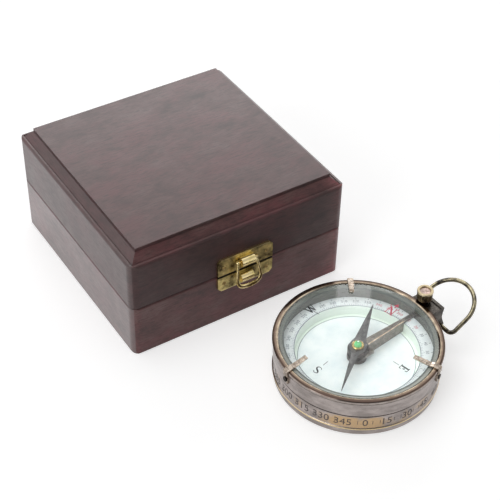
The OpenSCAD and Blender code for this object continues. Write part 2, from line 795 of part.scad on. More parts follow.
module lock_lever() {
    web_from = drum_r + 0.3;
    web_to = scale_in_r - 0.3;
    tongue_w = lever_end_w - 2 * tongue_play;
    prong_in = neck_r + 0.1;
    color("#8b7a66") along(lever_turn) difference() {
        union() {
            translate([0, 0, lever_z - lever_t]) linear_extrude(lever_t) polygon([
                [web_from, -lever_w / 2], [web_to, -lever_end_w / 2], [web_to + 1, -tongue_w / 2],
                [web_to + 1, tongue_w / 2], [web_to, lever_end_w / 2], [web_from, lever_w / 2]
            ]);
            translate([0, 0, lever_foot_z]) linear_extrude(lever_z - lever_foot_z) polygon([
                [web_from, -lever_w / 2], [web_to, -lever_end_w / 2],
                [web_to, lever_t - lever_end_w / 2], [web_from, lever_t - lever_w / 2]
            ]);
            translate([web_to - 0.5, -tongue_w / 2, tongue_z])
                cube([tongue_end - web_to + 0.5, tongue_w, lever_z - tongue_z]);
            translate([web_from, -drum_r, fork_z]) cube([fork_end - web_from, 2 * drum_r, fork_t]);
            for (s = [-1, 1]) translate([-1, s > 0 ? prong_in : -drum_r, fork_z])
                cube([fork_end + 1, drum_r - prong_in, fork_t]);
        }
        fulcrum(pin_clear);
    }
}

module blade(w, l) {
    t = w * 0.04;
    polygon([[0, -w / 2], [needle_disc_r, -w * 0.42], [l - 2 * t, -t], [l, 0],
        [l - 2 * t, t], [needle_disc_r, w * 0.42], [0, w / 2]]);
}

module needle_blade() {
    color("#4c4a4c") along(needle_turn) translate([0, 0, needle_z]) linear_extrude(needle_t)
        difference() {
            union() {
                circle(r = needle_disc_r);
                blade(north_w, needle_l);
                rotate(180) blade(south_w, needle_l);
            }
            circle(r = collar_r - 0.6);
        }
}

module needle_collar() {
    neck = collar_r - 0.6;
    bore = post_r - 0.2;
    color("#c09a4c") on_compass() rotate_extrude() polygon([
        [bore, needle_z - 0.2], [collar_r, needle_z - 0.2], [collar_r, needle_z],
        [neck, needle_z], [neck, needle_z + needle_t], [collar_r, needle_z + needle_t],
        [collar_r, needle_z + 1], [collar_r - 0.2, needle_z + 1.2], [bore, needle_z + 1.2]
    ]);
}

// Cone of green glass with the bearing hollow for the post's point underneath.
module needle_jewel() {
    seat = needle_z + 1.2;
    bore = post_r - 0.2;
    color("#3f9e57") on_compass() rotate_extrude() polygon([
        [0.7, seat - 0.8], [bore, seat - 0.8], [bore, seat], [jewel_r, seat],
        [jewel_r, seat + 0.25], [0.45, seat + jewel_h - 0.1], [0, seat + jewel_h],
        [0, post_z + 0.05]
    ]);
}

module lock_stem() {
    color("#b5763a") along(lever_turn) translate([knob_at, 0, 0]) {
        translate([0, 0, stem_z]) cylinder(r = stem_r, h = knob_z - stem_z - 0.05);
        translate([0, 0, stem_z]) cylinder(r = spindle_r, h = spindle_top - stem_z);
    }
}

module lock_knob() {
    r = knob_r;
    top = knob_z + knob_h;
    bore = spindle_r + pin_clear;
    color("#3b302a") along(lever_turn) translate([knob_at, 0, 0]) rotate_extrude() polygon([
        [bore, knob_z], [r - 0.3, knob_z], [r - 0.1, knob_z + 0.3], [r - 0.1, top - 0.9],
        [r, top - 0.7], [r, top - 0.2], [r - 0.2, top], [r - knob_rim + 0.1, top],
        [r - knob_rim, top - 0.1], [r - knob_rim, inlay_z], [0, inlay_z],
        [0, spindle_top + 0.1], [bore, spindle_top + 0.1]
    ]);
}

module knob_inlay() {
    r = knob_r - knob_rim;
    color("#b98f7c") along(lever_turn) translate([knob_at, 0, inlay_z]) rotate_extrude()
        polygon([[0, 0], [r, 0], [r, 0.6], [r - 0.3, 0.6], [r * 0.4, 0.35], [0, 0.3]]);
}

// Bracket on the case wall with a barrel for the ring and a notch for the lock's stem.
module lug() {
    color("#4f443c") difference() {
        along(lug_turn) {
            translate([0, lug_half, 0]) rotate([90, 0, 0]) linear_extrude(2 * lug_half) polygon([
                [case_in_r, lug_foot_z], [case_r + 1.7, lug_foot_z],
                [case_r + 1.7, ring_z - lug_barrel_r], [ring_at, ring_z - lug_barrel_r],
                [ring_at + lug_barrel_r * 0.9, ring_z + lug_barrel_r * 0.4],
                [lug_face - 0.3, lug_z - 6.2], [lug_face - 0.7, lug_z - 4.6],
                [lug_face - 0.6, lug_z - 3], [lug_face, lug_z + lug_strip_h - 0.3],
                [lug_face - 0.3, lug_z + lug_strip_h], [lug_face - lug_strip_w, lug_z + lug_strip_h],
                [lug_face - lug_strip_w - 0.2, lug_z], [case_in_r, lug_z]
            ]);
            translate([ring_at, lug_half, ring_z]) rotate([90, 0, 0])
                cylinder(r = lug_barrel_r, h = 2 * lug_half);
        }
        on_compass() cylinder(r = case_r + 0.02, h = case_h, $fn = 180);
        on_compass() translate([0, 0, case_h - 0.3])
            cylinder(r = claw_back_r, h = box_w, $fn = 180);
        along(lug_turn) for (s = [-1, 1]) translate([ring_at, s * lug_half, ring_z])
            rotate([s * 90, 0, 0]) translate([0, 0, -cut])
                cylinder(r = wire_r + pin_clear, h = pin_depth + pin_clear + cut);
        along(lug_turn) lug_screw_shape(screw_clear);
        along(lever_turn) {
            lever_slot(tongue_end + 0.4);
            translate([knob_at, 0, tongue_z]) cylinder(r = stem_r + pin_clear, h = box_w);
            translate([case_in_r, -notch_w / 2, notch_z]) cube([knob_at - case_in_r, notch_w, box_w]);
        }
    }
}

module lug_screws() { color("#2e2622") along(lug_turn) lug_screw_shape(0); }

module wire_bend(r, from, angle) {
    rotate([0, 0, from]) rotate_extrude(angle = angle, $fn = 96)
        translate([r, 0]) circle(r = wire_r, $fn = 32);
}

// One side of the ring in its own plane: x runs out from the pivot, y along the pins.
module ring_side(play) {
    pin_end = ring_bow_r - ring_bend_r;
    pin_start = lug_half - pin_depth + play;
    translate([0, pin_start, 0]) rotate([-90, 0, 0])
        cylinder(r = wire_r, h = pin_end - pin_start, $fn = 32);
    translate([ring_bend_r, pin_end, 0]) {
        wire_bend(ring_bend_r, 90, 90);
        translate([0, ring_bend_r, 0]) rotate([0, 90, 0])
            cylinder(r = wire_r, h = ring_reach - ring_bend_r, $fn = 32);
    }
}

module carry_ring() {
    color("#4a4038") along(lug_turn) translate([ring_at, -ring_shift, ring_z])
        rotate([0, -ring_rise, 0]) {
            translate([ring_reach, 0, 0]) wire_bend(ring_bow_r, -90, 180);
            ring_side(ring_shift);
            mirror([0, 1, 0]) ring_side(-ring_shift);
        }
}

base_front_wall();
base_back_wall();
base_left_wall();
base_right_wall();
base_floor();
base_lining();
color("#b08d4a") base_hinge_leaf(-hinge_x);  // left_hinge_base_leaf
color("#b08d4a") base_hinge_leaf(hinge_x);  // right_hinge_base_leaf
color("#9a7a3c") hinge_pin(-hinge_x);  // left_hinge_pin
color("#9a7a3c") hinge_pin(hinge_x);  // right_hinge_pin
color("#9a7a3c") leaf_screws(-1);  // base_hinge_screws
catch_plate();
catch_nails();
lid_front_wall();
lid_back_wall();
lid_left_wall();
lid_right_wall();
lid_panel();
lid_lining();
color("#b08d4a") lid_hinge_leaf(-hinge_x);  // left_hinge_lid_leaf
color("#b08d4a") lid_hinge_leaf(hinge_x);  // right_hinge_lid_leaf
color("#9a7a3c") leaf_screws(1);  // lid_hinge_screws
latch_plate();
latch_nails();
latch_bail();
case_body();
bottom_cover();
bezel();
glass();
packing_ring();
back_claw();
left_claw();
front_claw();
claw_screws();
dial_plate();
scale_ring();
pivot_post();
fulcrum_pin();
lug();
lug_screws();
lift_drum();
lock_lever();
needle_blade();
needle_collar();
needle_jewel();
lock_stem();
lock_knob();
knob_inlay();
carry_ring();
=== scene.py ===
import math

import bmesh
import bpy
import numpy as np
from mathutils import Matrix, Vector


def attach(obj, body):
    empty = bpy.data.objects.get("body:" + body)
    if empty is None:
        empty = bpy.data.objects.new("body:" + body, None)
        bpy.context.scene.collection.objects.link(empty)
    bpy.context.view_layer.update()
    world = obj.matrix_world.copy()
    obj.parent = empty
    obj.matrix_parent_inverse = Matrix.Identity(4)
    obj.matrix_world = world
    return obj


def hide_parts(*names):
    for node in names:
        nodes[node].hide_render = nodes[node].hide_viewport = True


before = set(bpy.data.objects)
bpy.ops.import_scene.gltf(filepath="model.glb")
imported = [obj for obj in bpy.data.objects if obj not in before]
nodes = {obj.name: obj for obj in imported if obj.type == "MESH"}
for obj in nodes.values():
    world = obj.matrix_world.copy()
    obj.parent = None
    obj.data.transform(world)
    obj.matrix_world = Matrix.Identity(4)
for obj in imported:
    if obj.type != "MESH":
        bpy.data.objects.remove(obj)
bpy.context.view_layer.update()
mm = 0.001
scene = bpy.context.scene
scene.view_settings.view_transform = "Standard"
print("frame loaded:", len(nodes), "nodes")

cameraSet = {
    "place": (-216.867, -390.084, 389.205),  # mm, in the box's own frame
    "right": (0.84550704, -0.53367267, 0.01764482),
    "up": (0.34161777, 0.56603712, 0.75026614),
    "back": (-0.41038415, -0.62832752, 0.66090043),
    "lens": 92.77,
}
cameraData = bpy.data.cameras.new("camera")
cameraData.lens = cameraSet["lens"]
cameraData.sensor_width = 36
cameraData.clip_start, cameraData.clip_end = 0.02, 20
camera = bpy.data.objects.new("camera", cameraData)
axes = Matrix([cameraSet["right"], cameraSet["up"], cameraSet["back"]]).transposed().to_4x4()
camera.matrix_world = Matrix.Translation([v * mm for v in cameraSet["place"]]) @ axes
scene.collection.objects.link(camera)
scene.camera = camera


# shader nodes
def put(tree, kind, inputs=None, **settings):
    # adds one shader node, sets it and links its inputs
    made = tree.nodes.new("ShaderNode" + kind)
    for key, value in settings.items():
        setattr(made, key, value)
    for key, value in (inputs or {}).items():
        if isinstance(value, bpy.types.NodeSocket):
            tree.links.new(value, made.inputs[key])
        else:
            made.inputs[key].default_value = value
    return made


def objectCoords(tree, scale=(1, 1, 1)):
    # the place on the piece in metres, drawn out along an axis whose scale is small
    coords = put(tree, "TexCoord").outputs["Object"]
    return put(tree, "Mapping", {"Vector": coords, "Scale": scale}).outputs[0]


def noise(tree, where, scale, detail=4, rough=0.55, warp=0):
    # clouds between 0 and 1; scale is in clouds per metre
    return put(tree, "TexNoise", {"Vector": where, "Scale": scale, "Detail": detail, "Roughness": rough,
                                  "Distortion": warp}).outputs[0]


def ramp(tree, value, stops):
    # a number or a colour at each of a few values, and straight lines between them
    made = put(tree, "ValToRGB", {"Fac": value})
    spots = made.color_ramp.elements
    while len(spots) < len(stops):
        spots.new(0.5)
    for spot, (at, colour) in zip(spots, stops):
        spot.position = at
        spot.color = (*colour, 1) if isinstance(colour, tuple) else (colour, colour, colour, 1)
    return made.outputs[0]


def mixed(tree, share, first, second):
    # the first colour at share 0, the second at share 1
    made = put(tree, "Mix", data_type="RGBA")
    for spot, value in ((0, share), (6, first), (7, second)):
        if isinstance(value, bpy.types.NodeSocket):
            tree.links.new(value, made.inputs[spot])
        else:
            made.inputs[spot].default_value = (*value, 1) if isinstance(value, tuple) else value
    return made.outputs[2]


def maths(tree, way, first, second=0.0):
    return put(tree, "Math", {0: first, 1: second}, operation=way).outputs[0]


def times(tree, first, second):
    return maths(tree, "MULTIPLY", first, second)


def inverse(tree, share):
    # what a share leaves of 1
    return maths(tree, "SUBTRACT", 1.0, share)


def bumped(tree, height, strength, distance):
    return put(tree, "Bump", {"Height": height, "Strength": strength, "Distance": distance * mm}).outputs[0]


def between(tree, value, low, high):
    # 0 below low, 1 above high, in a straight line between them
    return put(tree, "MapRange", {0: value, 1: low, 2: high, 3: 0.0, 4: 1.0}).outputs[0]


def fadeMm(tree, value, low, high):
    # the same, with both ends in mm
    return between(tree, value, low * mm, high * mm)


def stripe(tree, value, rise, fall):
    # 1 inside a stripe: it rises from 0 over one pair of values in mm and falls back over another
    return times(tree, fadeMm(tree, value, *rise), inverse(tree, fadeMm(tree, value, *fall)))


def heightOf(tree):
    # the height above the table at rest, in metres
    return put(tree, "SeparateXYZ", {0: objectCoords(tree)}).outputs[2]


def newMaterial(name):
    made = bpy.data.materials.new(name)
    made.use_nodes = True
    tree = made.node_tree
    return made, tree, tree.nodes["Principled BSDF"]


def feed(tree, shader, **inputs):
    # sets or links the principled shader's sockets; _ in a name stands for a space
    for key, value in inputs.items():
        socket = shader.inputs[key.replace("_", " ")]
        if isinstance(value, bpy.types.NodeSocket):
            tree.links.new(value, socket)
        elif isinstance(value, tuple) and len(value) == 3 and key.endswith(("Color", "Tint")):
            socket.default_value = (*value, 1)
        else:
            socket.default_value = value


# wood: stained boards with fine streaks along the grain and cloudy patches
woodSet = {
    "dark": (0.024, 0.011, 0.011),
    "mid": (0.058, 0.023, 0.023),
    "light": (0.076, 0.041, 0.039),
    "red": (0.094, 0.024, 0.029),
    "tint": (1.0, 0.88, 0.87),
    "rough": 0.36,
    "rise": (48.0, 49.0),  # mm, where the lid's border begins
    "cornerHighlight": (38.0, 52.0),  # mm from the box's middle
    "streaks": 1500,
    "pores": 900,
    "clouds": 110,
    "blush": 60,
    "drawnOut": 0.12,
}
# lacquer: how much each group of boards has kept; the colour scale below and above the border is painted
# light and shade: the lid front darker under its border and lighter on that border, which faces up, and the
# base boards lighter all over;
# the right end's share says how much paler the right end is, a painted highlight on the rounded corner
boardSet = {
    "woodLidTop": {"grain": "x", "lacquer": 0.30, "shine": 0.50, "stainAndShade": (1.0, 1.0)},
    "woodLidFront": {"grain": "x", "lacquer": 0.05, "shine": 0.44, "stainAndShade": (0.72, 1.5), "cornerHighlight": 2.2},
    "woodLidSide": {"grain": "y", "lacquer": 0.55, "shine": 0.60, "stainAndShade": (1.0, 1.0)},
    "woodBaseFront": {"grain": "x", "lacquer": 0.15, "shine": 0.44, "stainAndShade": (1.9, 1.9), "cornerHighlight": 2.2},
    "woodBaseSide": {"grain": "y", "lacquer": 1.0, "shine": 0.90, "stainAndShade": (1.6, 1.6)},
    "woodInside": {"grain": "x", "lacquer": 0.0, "shine": 0.30, "stainAndShade": (1.0, 1.0)},
}


def woodMaterial(name):
    # dark, middle and light stain by clouds, red blushes, and thin dark streaks drawn out along the grain
    cs, board = woodSet, boardSet[name]
    made, tree, shader = newMaterial(name)
    along = {"x": (cs["drawnOut"], 1, 1), "y": (1, cs["drawnOut"], 1)}[board["grain"]]
    narrow, wide = objectCoords(tree, along), objectCoords(tree, tuple(0.55 + 0.45 * v for v in along))
    streaks = noise(tree, narrow, cs["streaks"], 4, 0.75)
    pores = noise(tree, narrow, cs["pores"], 2, 0.5)
    clouds = noise(tree, wide, cs["clouds"], 7, 0.72, 0.2)
    blush = noise(tree, wide, cs["blush"], 5, 0.65)
    base = ramp(tree, clouds, [(0.30, cs["dark"]), (0.5, cs["mid"]), (0.68, cs["light"])])
    base = mixed(tree, ramp(tree, blush, [(0.46, 0.0), (0.62, 0.55)]), base, cs["red"])
    base = mixed(tree, ramp(tree, streaks, [(0.34, 0.75), (0.52, 0.0)]), base, cs["dark"])
    base = mixed(tree, ramp(tree, pores, [(0.27, 0.95), (0.33, 0.0)]), base, cs["dark"])
    place = put(tree, "SeparateXYZ", {0: objectCoords(tree)}).outputs
    # the colour is scaled by height and by group of boards: painted shade on the lid front under its border,
    # painted light on the border and on the base boards
    low, high = (v * mm for v in cs["rise"])
    stainAndShade = put(tree, "MapRange", {0: place[2], 1: low, 2: high, 3: board["stainAndShade"][0],
                                   4: board["stainAndShade"][1]}).outputs[0]
    # the right end is painted paler, a painted highlight on the rounded corner
    if "cornerHighlight" in board:  # by the square of the way there
        way = fadeMm(tree, place[0], *cs["cornerHighlight"])
        cornerLight = times(tree, times(tree, way, way), board["cornerHighlight"])
        stainAndShade = times(tree, stainAndShade, maths(tree, "ADD", cornerLight, 1.0))
    base = put(tree, "VectorMath", {0: base, "Scale": stainAndShade}, operation="SCALE").outputs[0]
    rough = mixed(tree, 0.5, ramp(tree, streaks, [(0.3, cs["rough"] + 0.16), (0.7, cs["rough"] - 0.08)]),
                  ramp(tree, clouds, [(0.3, cs["rough"] + 0.14), (0.7, cs["rough"] - 0.06)]))
    feed(tree, shader, Base_Color=base, Roughness=rough, Normal=bumped(tree, streaks, 0.4, 0.05),
         Coat_Weight=board["lacquer"], Coat_Roughness=0.22, Specular_IOR_Level=board["shine"],
         Specular_Tint=cs["tint"])
    return made


# metals: worn bronze, brass, copper and steel from one recipe. Each row gives the dull colour, the bright
# colour, the roughness, the share of grime and how fine its clouds are
metalRows = {
    "boxBrass": ((0.07, 0.05, 0.02), (0.74, 0.60, 0.25), 0.26, 0.5, 230),
    "boxNail": ((0.08, 0.05, 0.02), (0.42, 0.30, 0.12), 0.35, 0.5, 900),
    "bailBrass": ((0.30, 0.21, 0.07), (1.0, 0.84, 0.46), 0.16, 0.3, 380),
    "caseBronze": ((0.30, 0.265, 0.25), (0.50, 0.44, 0.42), 0.24, 0.3, 300),
    "coverBronze": ((0.12, 0.08, 0.06), (0.30, 0.23, 0.18), 0.45, 0.4, 300),
    "clawCopper": ((0.26, 0.21, 0.17), (0.66, 0.57, 0.48), 0.2, 0.3, 500),
    "darkScrew": ((0.015, 0.012, 0.010), (0.07, 0.055, 0.045), 0.35, 0.5, 900),
    "steel": ((0.25, 0.25, 0.26), (0.55, 0.56, 0.57), 0.3, 0.2, 500),
    "lugBronze": ((0.03, 0.027, 0.025), (0.16, 0.145, 0.13), 0.2, 0.55, 330),
    "drumBronze": ((0.03, 0.024, 0.022), (0.13, 0.10, 0.09), 0.25, 0.4, 500),
    "leverMetal": ((0.13, 0.11, 0.095), (0.30, 0.26, 0.23), 0.3, 0.4, 500),
    "needleSteel": ((0.07, 0.066, 0.066), (0.17, 0.16, 0.162), 0.3, 0.3, 400),
    "needleBrass": ((0.40, 0.28, 0.10), (0.85, 0.64, 0.28), 0.2, 0.15, 600),
    "stemCopper": ((0.30, 0.13, 0.035), (0.75, 0.40, 0.13), 0.3, 0.2, 600),
    "knobBronze": ((0.035, 0.026, 0.017), (0.22, 0.16, 0.09), 0.3, 0.4, 420),
    # the lever's edge strip: worn copper, brightened into a painted highlight
    "leverEdge": ((0.60, 0.42, 0.30), (1.0, 0.84, 0.68), 0.2, 0.3, 400),
    "inlayCopper": ((0.25, 0.17, 0.14), (0.60, 0.47, 0.42), 0.3, 0.4, 900),
    "ringBronze": ((0.035, 0.032, 0.03), (0.42, 0.37, 0.24), 0.14, 0.35, 260),
}
metalKeys = ("low", "high", "rough", "grime", "size")
metalSet = {name: dict(zip(metalKeys, row)) for name, row in metalRows.items()}
metalSet["knobBronze"].update(rim=(24.05, 24.2), rimColour=(0.52, 0.43, 0.28))  # bright above these mm


def metalMaterial(name):
    # dull and bright metal mixed by clouds, with fine scratches in roughness and bump
    cs = metalSet[name]
    made, tree, shader = newMaterial(name)
    space = objectCoords(tree)
    clouds = noise(tree, space, cs["size"], 4, 0.6)
    fine = noise(tree, space, cs["size"] * 5, 3, 0.6)
    share = ramp(tree, clouds, [(0.5 - cs["grime"] * 0.4, 0.0), (0.65, 1.0)])
    base = mixed(tree, share, cs["low"], cs["high"])
    if "rim" in cs:
        base = mixed(tree, fadeMm(tree, heightOf(tree), *cs["rim"]), base, cs["rimColour"])
    feed(tree, shader, Base_Color=base, Metallic=1.0,
         Roughness=ramp(tree, fine, [(0.3, cs["rough"] + 0.12), (0.7, cs["rough"] - 0.06)]),
         Normal=bumped(tree, fine, 0.12, 0.03))
    return made


compassSet = {"x": 21.5, "y": -106.8, "glassTop": 19.2, "dialTop": 7.5, "scaleTop": 12.4, "bandRadius": 34.25}


def fromLine(tree, place):
    # the distance from an upright line through a place given in mm
    flat = put(tree, "VectorMath", {0: objectCoords(tree), 1: (1, 1, 0)}, operation="MULTIPLY").outputs[0]
    return put(tree, "VectorMath", {0: flat, 1: (place[0] * mm, place[1] * mm, 0)},
               operation="DISTANCE").outputs["Value"]


def fromAxis(tree):
    return fromLine(tree, (compassSet["x"], compassSet["y"]))


def ringFade(tree, low, high):
    # 0 at one distance from the compass's axis, 1 at another, both in mm
    return fadeMm(tree, fromAxis(tree), low, high)


def patchFade(tree, patch):
    # 1 near an upright line, 0 away from it
    return inverse(tree, fadeMm(tree, fromLine(tree, patch["place"]), *patch["fade"]))


# heights and distances from the axis in mm; each stripe rises over its first pair and falls over its second
turnedSet = {
    "worn": {"stripe": ((3.7, 4.3), (9.6, 10.2)), "place": (1.8, -134.8), "fade": (5, 14), "share": 0.17,
             "colour": (0.60, 0.41, 0.22)},
    "bead": {"stripe": ((3.15, 3.3), (3.7, 3.85)), "colour": (0.85, 0.67, 0.38)},
    "groove": {"stripe": ((10.25, 10.4), (10.8, 11.0)), "share": 0.85, "colour": (0.03, 0.022, 0.02)},
    "inside": {"fade": (32.1, 32.3), "colour": (0.15, 0.15, 0.13)},
}


def turnedMaterial(name):
    # the case's bronze: fine turning lines, a brassy worn patch in the sunk band, a bright bead that is a
    # painted highlight, and a groove
    cs, metal = turnedSet, metalSet[name]
    made, tree, shader = newMaterial(name)
    height = heightOf(tree)
    clouds = noise(tree, objectCoords(tree, (0.35, 0.35, 1)), metal["size"], 4, 0.6)
    lines = noise(tree, objectCoords(tree, (0.03, 0.03, 1)), 9000, 2, 0.6)
    base = mixed(tree, ramp(tree, clouds, [(0.35, 0.0), (0.66, 1.0)]), metal["low"], metal["high"])
    wear = maths(tree, "ADD", times(tree, patchFade(tree, cs["worn"]), cs["worn"]["share"]),
                 noise(tree, objectCoords(tree), 110, 4, 0.6))
    worn = times(tree, stripe(tree, height, *cs["worn"]["stripe"]),
                 ramp(tree, wear, [(0.54, 0.0), (0.74, 0.85)]))
    base = mixed(tree, worn, base, cs["worn"]["colour"])
    # the bead's bright gold stripe is a painted highlight
    base = mixed(tree, stripe(tree, height, *cs["bead"]["stripe"]), base, cs["bead"]["colour"])
    groove = times(tree, stripe(tree, height, *cs["groove"]["stripe"]), cs["groove"]["share"])
    base = mixed(tree, groove, base, cs["groove"]["colour"])
    base = mixed(tree, inverse(tree, ringFade(tree, *cs["inside"]["fade"])), base, cs["inside"]["colour"])
    feed(tree, shader, Base_Color=base, Metallic=1.0,
         Roughness=ramp(tree, lines, [(0.3, metal["rough"] + 0.1), (0.7, metal["rough"] - 0.05)]),
         Normal=bumped(tree, lines, 0.1, 0.03))
    return made


# the rim's rings are painted highlights and painted dark reflections; the dark patch at the front is a
# painted dark reflection
bezelSet = {"rough": 0.10, "outer": 35.05,
            "bands": [(32.5, (0.36, 0.32, 0.27)), (33.0, (0.80, 0.66, 0.48)), (33.35, (0.46, 0.36, 0.27)),
                      (34.0, (0.27, 0.19, 0.15)), (34.25, (0.06, 0.038, 0.026)), (34.7, (0.09, 0.06, 0.045)),
                      (34.9, (0.44, 0.39, 0.36))],
            "worn": (0.16, 0.11, 0.085),
            "darkReflection": {"place": (-1.7, -131.5), "fade": (8, 20), "stripe": ((33.1, 33.4), (34.7, 34.9)),
                     "share": 0.8, "colour": (0.13, 0.085, 0.07)}}


def bezelMaterial(name):
    # rolled rim: bright and dark rings one inside another, which are painted highlights and painted dark
    # reflections, under random tarnish, and a painted dark reflection over the front
    cs, darkReflection = bezelSet, bezelSet["darkReflection"]
    made, tree, shader = newMaterial(name)
    low, high = cs["bands"][0][0], cs["outer"]
    base = ramp(tree, ringFade(tree, low, high),
                [((at - low) / (high - low), colour) for at, colour in cs["bands"]])
    wear = ramp(tree, noise(tree, objectCoords(tree), 260, 3, 0.6), [(0.4, 0.45), (0.62, 0.0)])
    base = mixed(tree, wear, base, cs["worn"])
    # the dark patch over the front is a painted dark reflection
    share = times(tree, times(tree, patchFade(tree, darkReflection), stripe(tree, fromAxis(tree), *darkReflection["stripe"])),
                  darkReflection["share"])
    base = mixed(tree, share, base, darkReflection["colour"])
    feed(tree, shader, Base_Color=base, Metallic=1.0, Roughness=cs["rough"])
    return made


def enamelMaterial(name, colour, stainAndShade, other, fade):
    # slightly stained paint, with another tint outside a fade by distance from the axis
    made, tree, shader = newMaterial(name)
    space = objectCoords(tree)
    base = mixed(tree, ramp(tree, noise(tree, space, 130, 4, 0.6), [(0.4, 0.0), (0.75, 0.7)]), colour, stainAndShade)
    base = mixed(tree, ringFade(tree, *fade), base, other)
    feed(tree, shader, Base_Color=base,
         Roughness=ramp(tree, noise(tree, space, 900, 2), [(0.3, 0.4), (0.7, 0.3)]))
    return made


def inkMaterial(name, colour, faded):
    # ink that is thin in small specks
    made, tree, shader = newMaterial(name)
    specks = ramp(tree, noise(tree, objectCoords(tree), 2500, 3, 0.7), [(0.4, 0.0), (0.7, 0.5)])
    feed(tree, shader, Base_Color=mixed(tree, specks, colour, faded), Roughness=0.5)
    return made


def glassMaterial(name):
    # clear glass whose shadow is see-through
    made, tree, shader = newMaterial(name)
    feed(tree, shader, Base_Color=(0.97, 0.995, 0.985), Roughness=0.02, IOR=1.45, Transmission_Weight=1.0)
    out = tree.nodes["Material Output"]
    clear = put(tree, "BsdfTransparent", {"Color": (0.96, 0.985, 0.975, 1)})
    path = put(tree, "LightPath")
    pick = put(tree, "MixShader", {0: path.outputs["Is Shadow Ray"]})
    tree.links.new(shader.outputs[0], pick.inputs[1])
    tree.links.new(clear.outputs[0], pick.inputs[2])
    tree.links.new(pick.outputs[0], out.inputs[0])
    return made


# the washer's pale front and dark back are painted light and shade
packingLook = {"dark": (0.11, 0.115, 0.10), "pale": (0.31, 0.295, 0.265), "edge": (0.05, 0.06, 0.055),
               "towards": (-0.517, -0.856, 0), "fade": (72, 108), "edgeFade": (30.95, 30.75)}


def packingMaterial(name):
    # a washer painted pale at the front and dark at the back, a painted light and shade, with a dark inner
    # edge
    cs = packingLook
    made, tree, shader = newMaterial(name)
    space = objectCoords(tree)
    forward = put(tree, "VectorMath", {0: space, 1: cs["towards"]}, operation="DOT_PRODUCT").outputs["Value"]
    share = times(tree, fadeMm(tree, forward, *cs["fade"]),
                  ramp(tree, noise(tree, space, 400), [(0.2, 0.8), (0.7, 1.0)]))
    base = mixed(tree, share, cs["dark"], cs["pale"])
    base = mixed(tree, ringFade(tree, *cs["edgeFade"]), base, cs["edge"])
    feed(tree, shader, Base_Color=base, Roughness=0.6)
    return made


velvetSet = {"low": (0.10, 0.010, 0.018), "high": (0.24, 0.03, 0.045), "brushed": (0.07, 0.006, 0.012),
             "sheen": (0.9, 0.45, 0.5)}


def velvetMaterial(name):
    # fine pile, darker where it is brushed the other way
    cs = velvetSet
    made, tree, shader = newMaterial(name)
    space = objectCoords(tree)
    pile = noise(tree, space, 2600, 3, 0.7)
    sweep = noise(tree, space, 60, 3, 0.5)
    base = mixed(tree, pile, cs["low"], cs["high"])
    base = mixed(tree, ramp(tree, sweep, [(0.4, 0.0), (0.65, 0.5)]), base, cs["brushed"])
    feed(tree, shader, Base_Color=base, Roughness=0.95, Sheen_Weight=0.6, Sheen_Roughness=0.45,
         Sheen_Tint=cs["sheen"], Normal=bumped(tree, pile, 0.7, 0.25))
    return made


jewelLook = {"low": (0.06, 0.42, 0.12), "high": (0.22, 0.72, 0.30), "ring": (0.02, 0.22, 0.05),
             "ringFade": (0.75, 0.65), "tip": (0.75, 0.90, 0.75), "tipFade": (0.42, 0.34)}


def jewelMaterial(name):
    # green glass, pale at its tip inside a darker ring
    cs = jewelLook
    made, tree, shader = newMaterial(name)
    base = mixed(tree, noise(tree, objectCoords(tree), 700), cs["low"], cs["high"])
    base = mixed(tree, ringFade(tree, *cs["ringFade"]), base, cs["ring"])
    base = mixed(tree, ringFade(tree, *cs["tipFade"]), base, cs["tip"])
    feed(tree, shader, Base_Color=base, Roughness=0.12, Coat_Weight=1.0, Coat_Roughness=0.05)
    return made


plateSet = {"jointShade": ((25.4, 25.5), (26.2, 26.4)), "upper": (34.5, 34.9), "lower": (18.2, 17.8),
            "edgeHighlightShare": 0.8, "face": (-53.1, -53.3), "proudHighlight": (0.95, 0.78, 0.42),
            "lit": (0.80, 0.66, 0.36), "shade": (0.012, 0.009, 0.006), "proudRough": 0.15}


def plateMaterial(name, source):
    # tarnished brass with painted shade along the joint between the plates, painted highlights on the outer
    # edges, and where it is proud a brighter polish under a painted highlight
    cs, metal = plateSet, metalSet[source]
    made, tree, shader = newMaterial(name)
    space = objectCoords(tree)
    parts = put(tree, "SeparateXYZ", {0: space}).outputs
    deep, height = parts[1], parts[2]
    fine = noise(tree, space, metal["size"] * 5, 3, 0.6)
    clouds = noise(tree, space, metal["size"], 4, 0.6)
    base = mixed(tree, ramp(tree, clouds, [(0.34, 0.0), (0.66, 1.0)]), metal["low"], metal["high"])
    # painted highlights along the plates' upper and lower edges
    edge = maths(tree, "MAXIMUM", fadeMm(tree, height, *cs["upper"]), fadeMm(tree, height, *cs["lower"]))
    base = mixed(tree, times(tree, edge, cs["edgeHighlightShare"]), base, cs["lit"])
    # where it is proud: a brighter polish, partly a painted highlight
    proud = fadeMm(tree, deep, *cs["face"])
    polishedAndLit = mixed(tree, ramp(tree, clouds, [(0.38, 0.0), (0.55, 1.0)]), metal["high"], cs["proudHighlight"])
    base = mixed(tree, proud, base, polishedAndLit)
    # painted shade along the joint between the plates
    jointShade = times(tree, stripe(tree, height, *cs["jointShade"]), inverse(tree, proud))
    base = mixed(tree, jointShade, base, cs["shade"])
    rough = put(tree, "MapRange", {0: proud, 1: 0.0, 2: 1.0, 3: metal["rough"] + 0.04,
                                   4: cs["proudRough"]}).outputs[0]
    feed(tree, shader, Base_Color=base, Metallic=1.0, Roughness=rough, Normal=bumped(tree, fine, 0.12, 0.03))
    return made


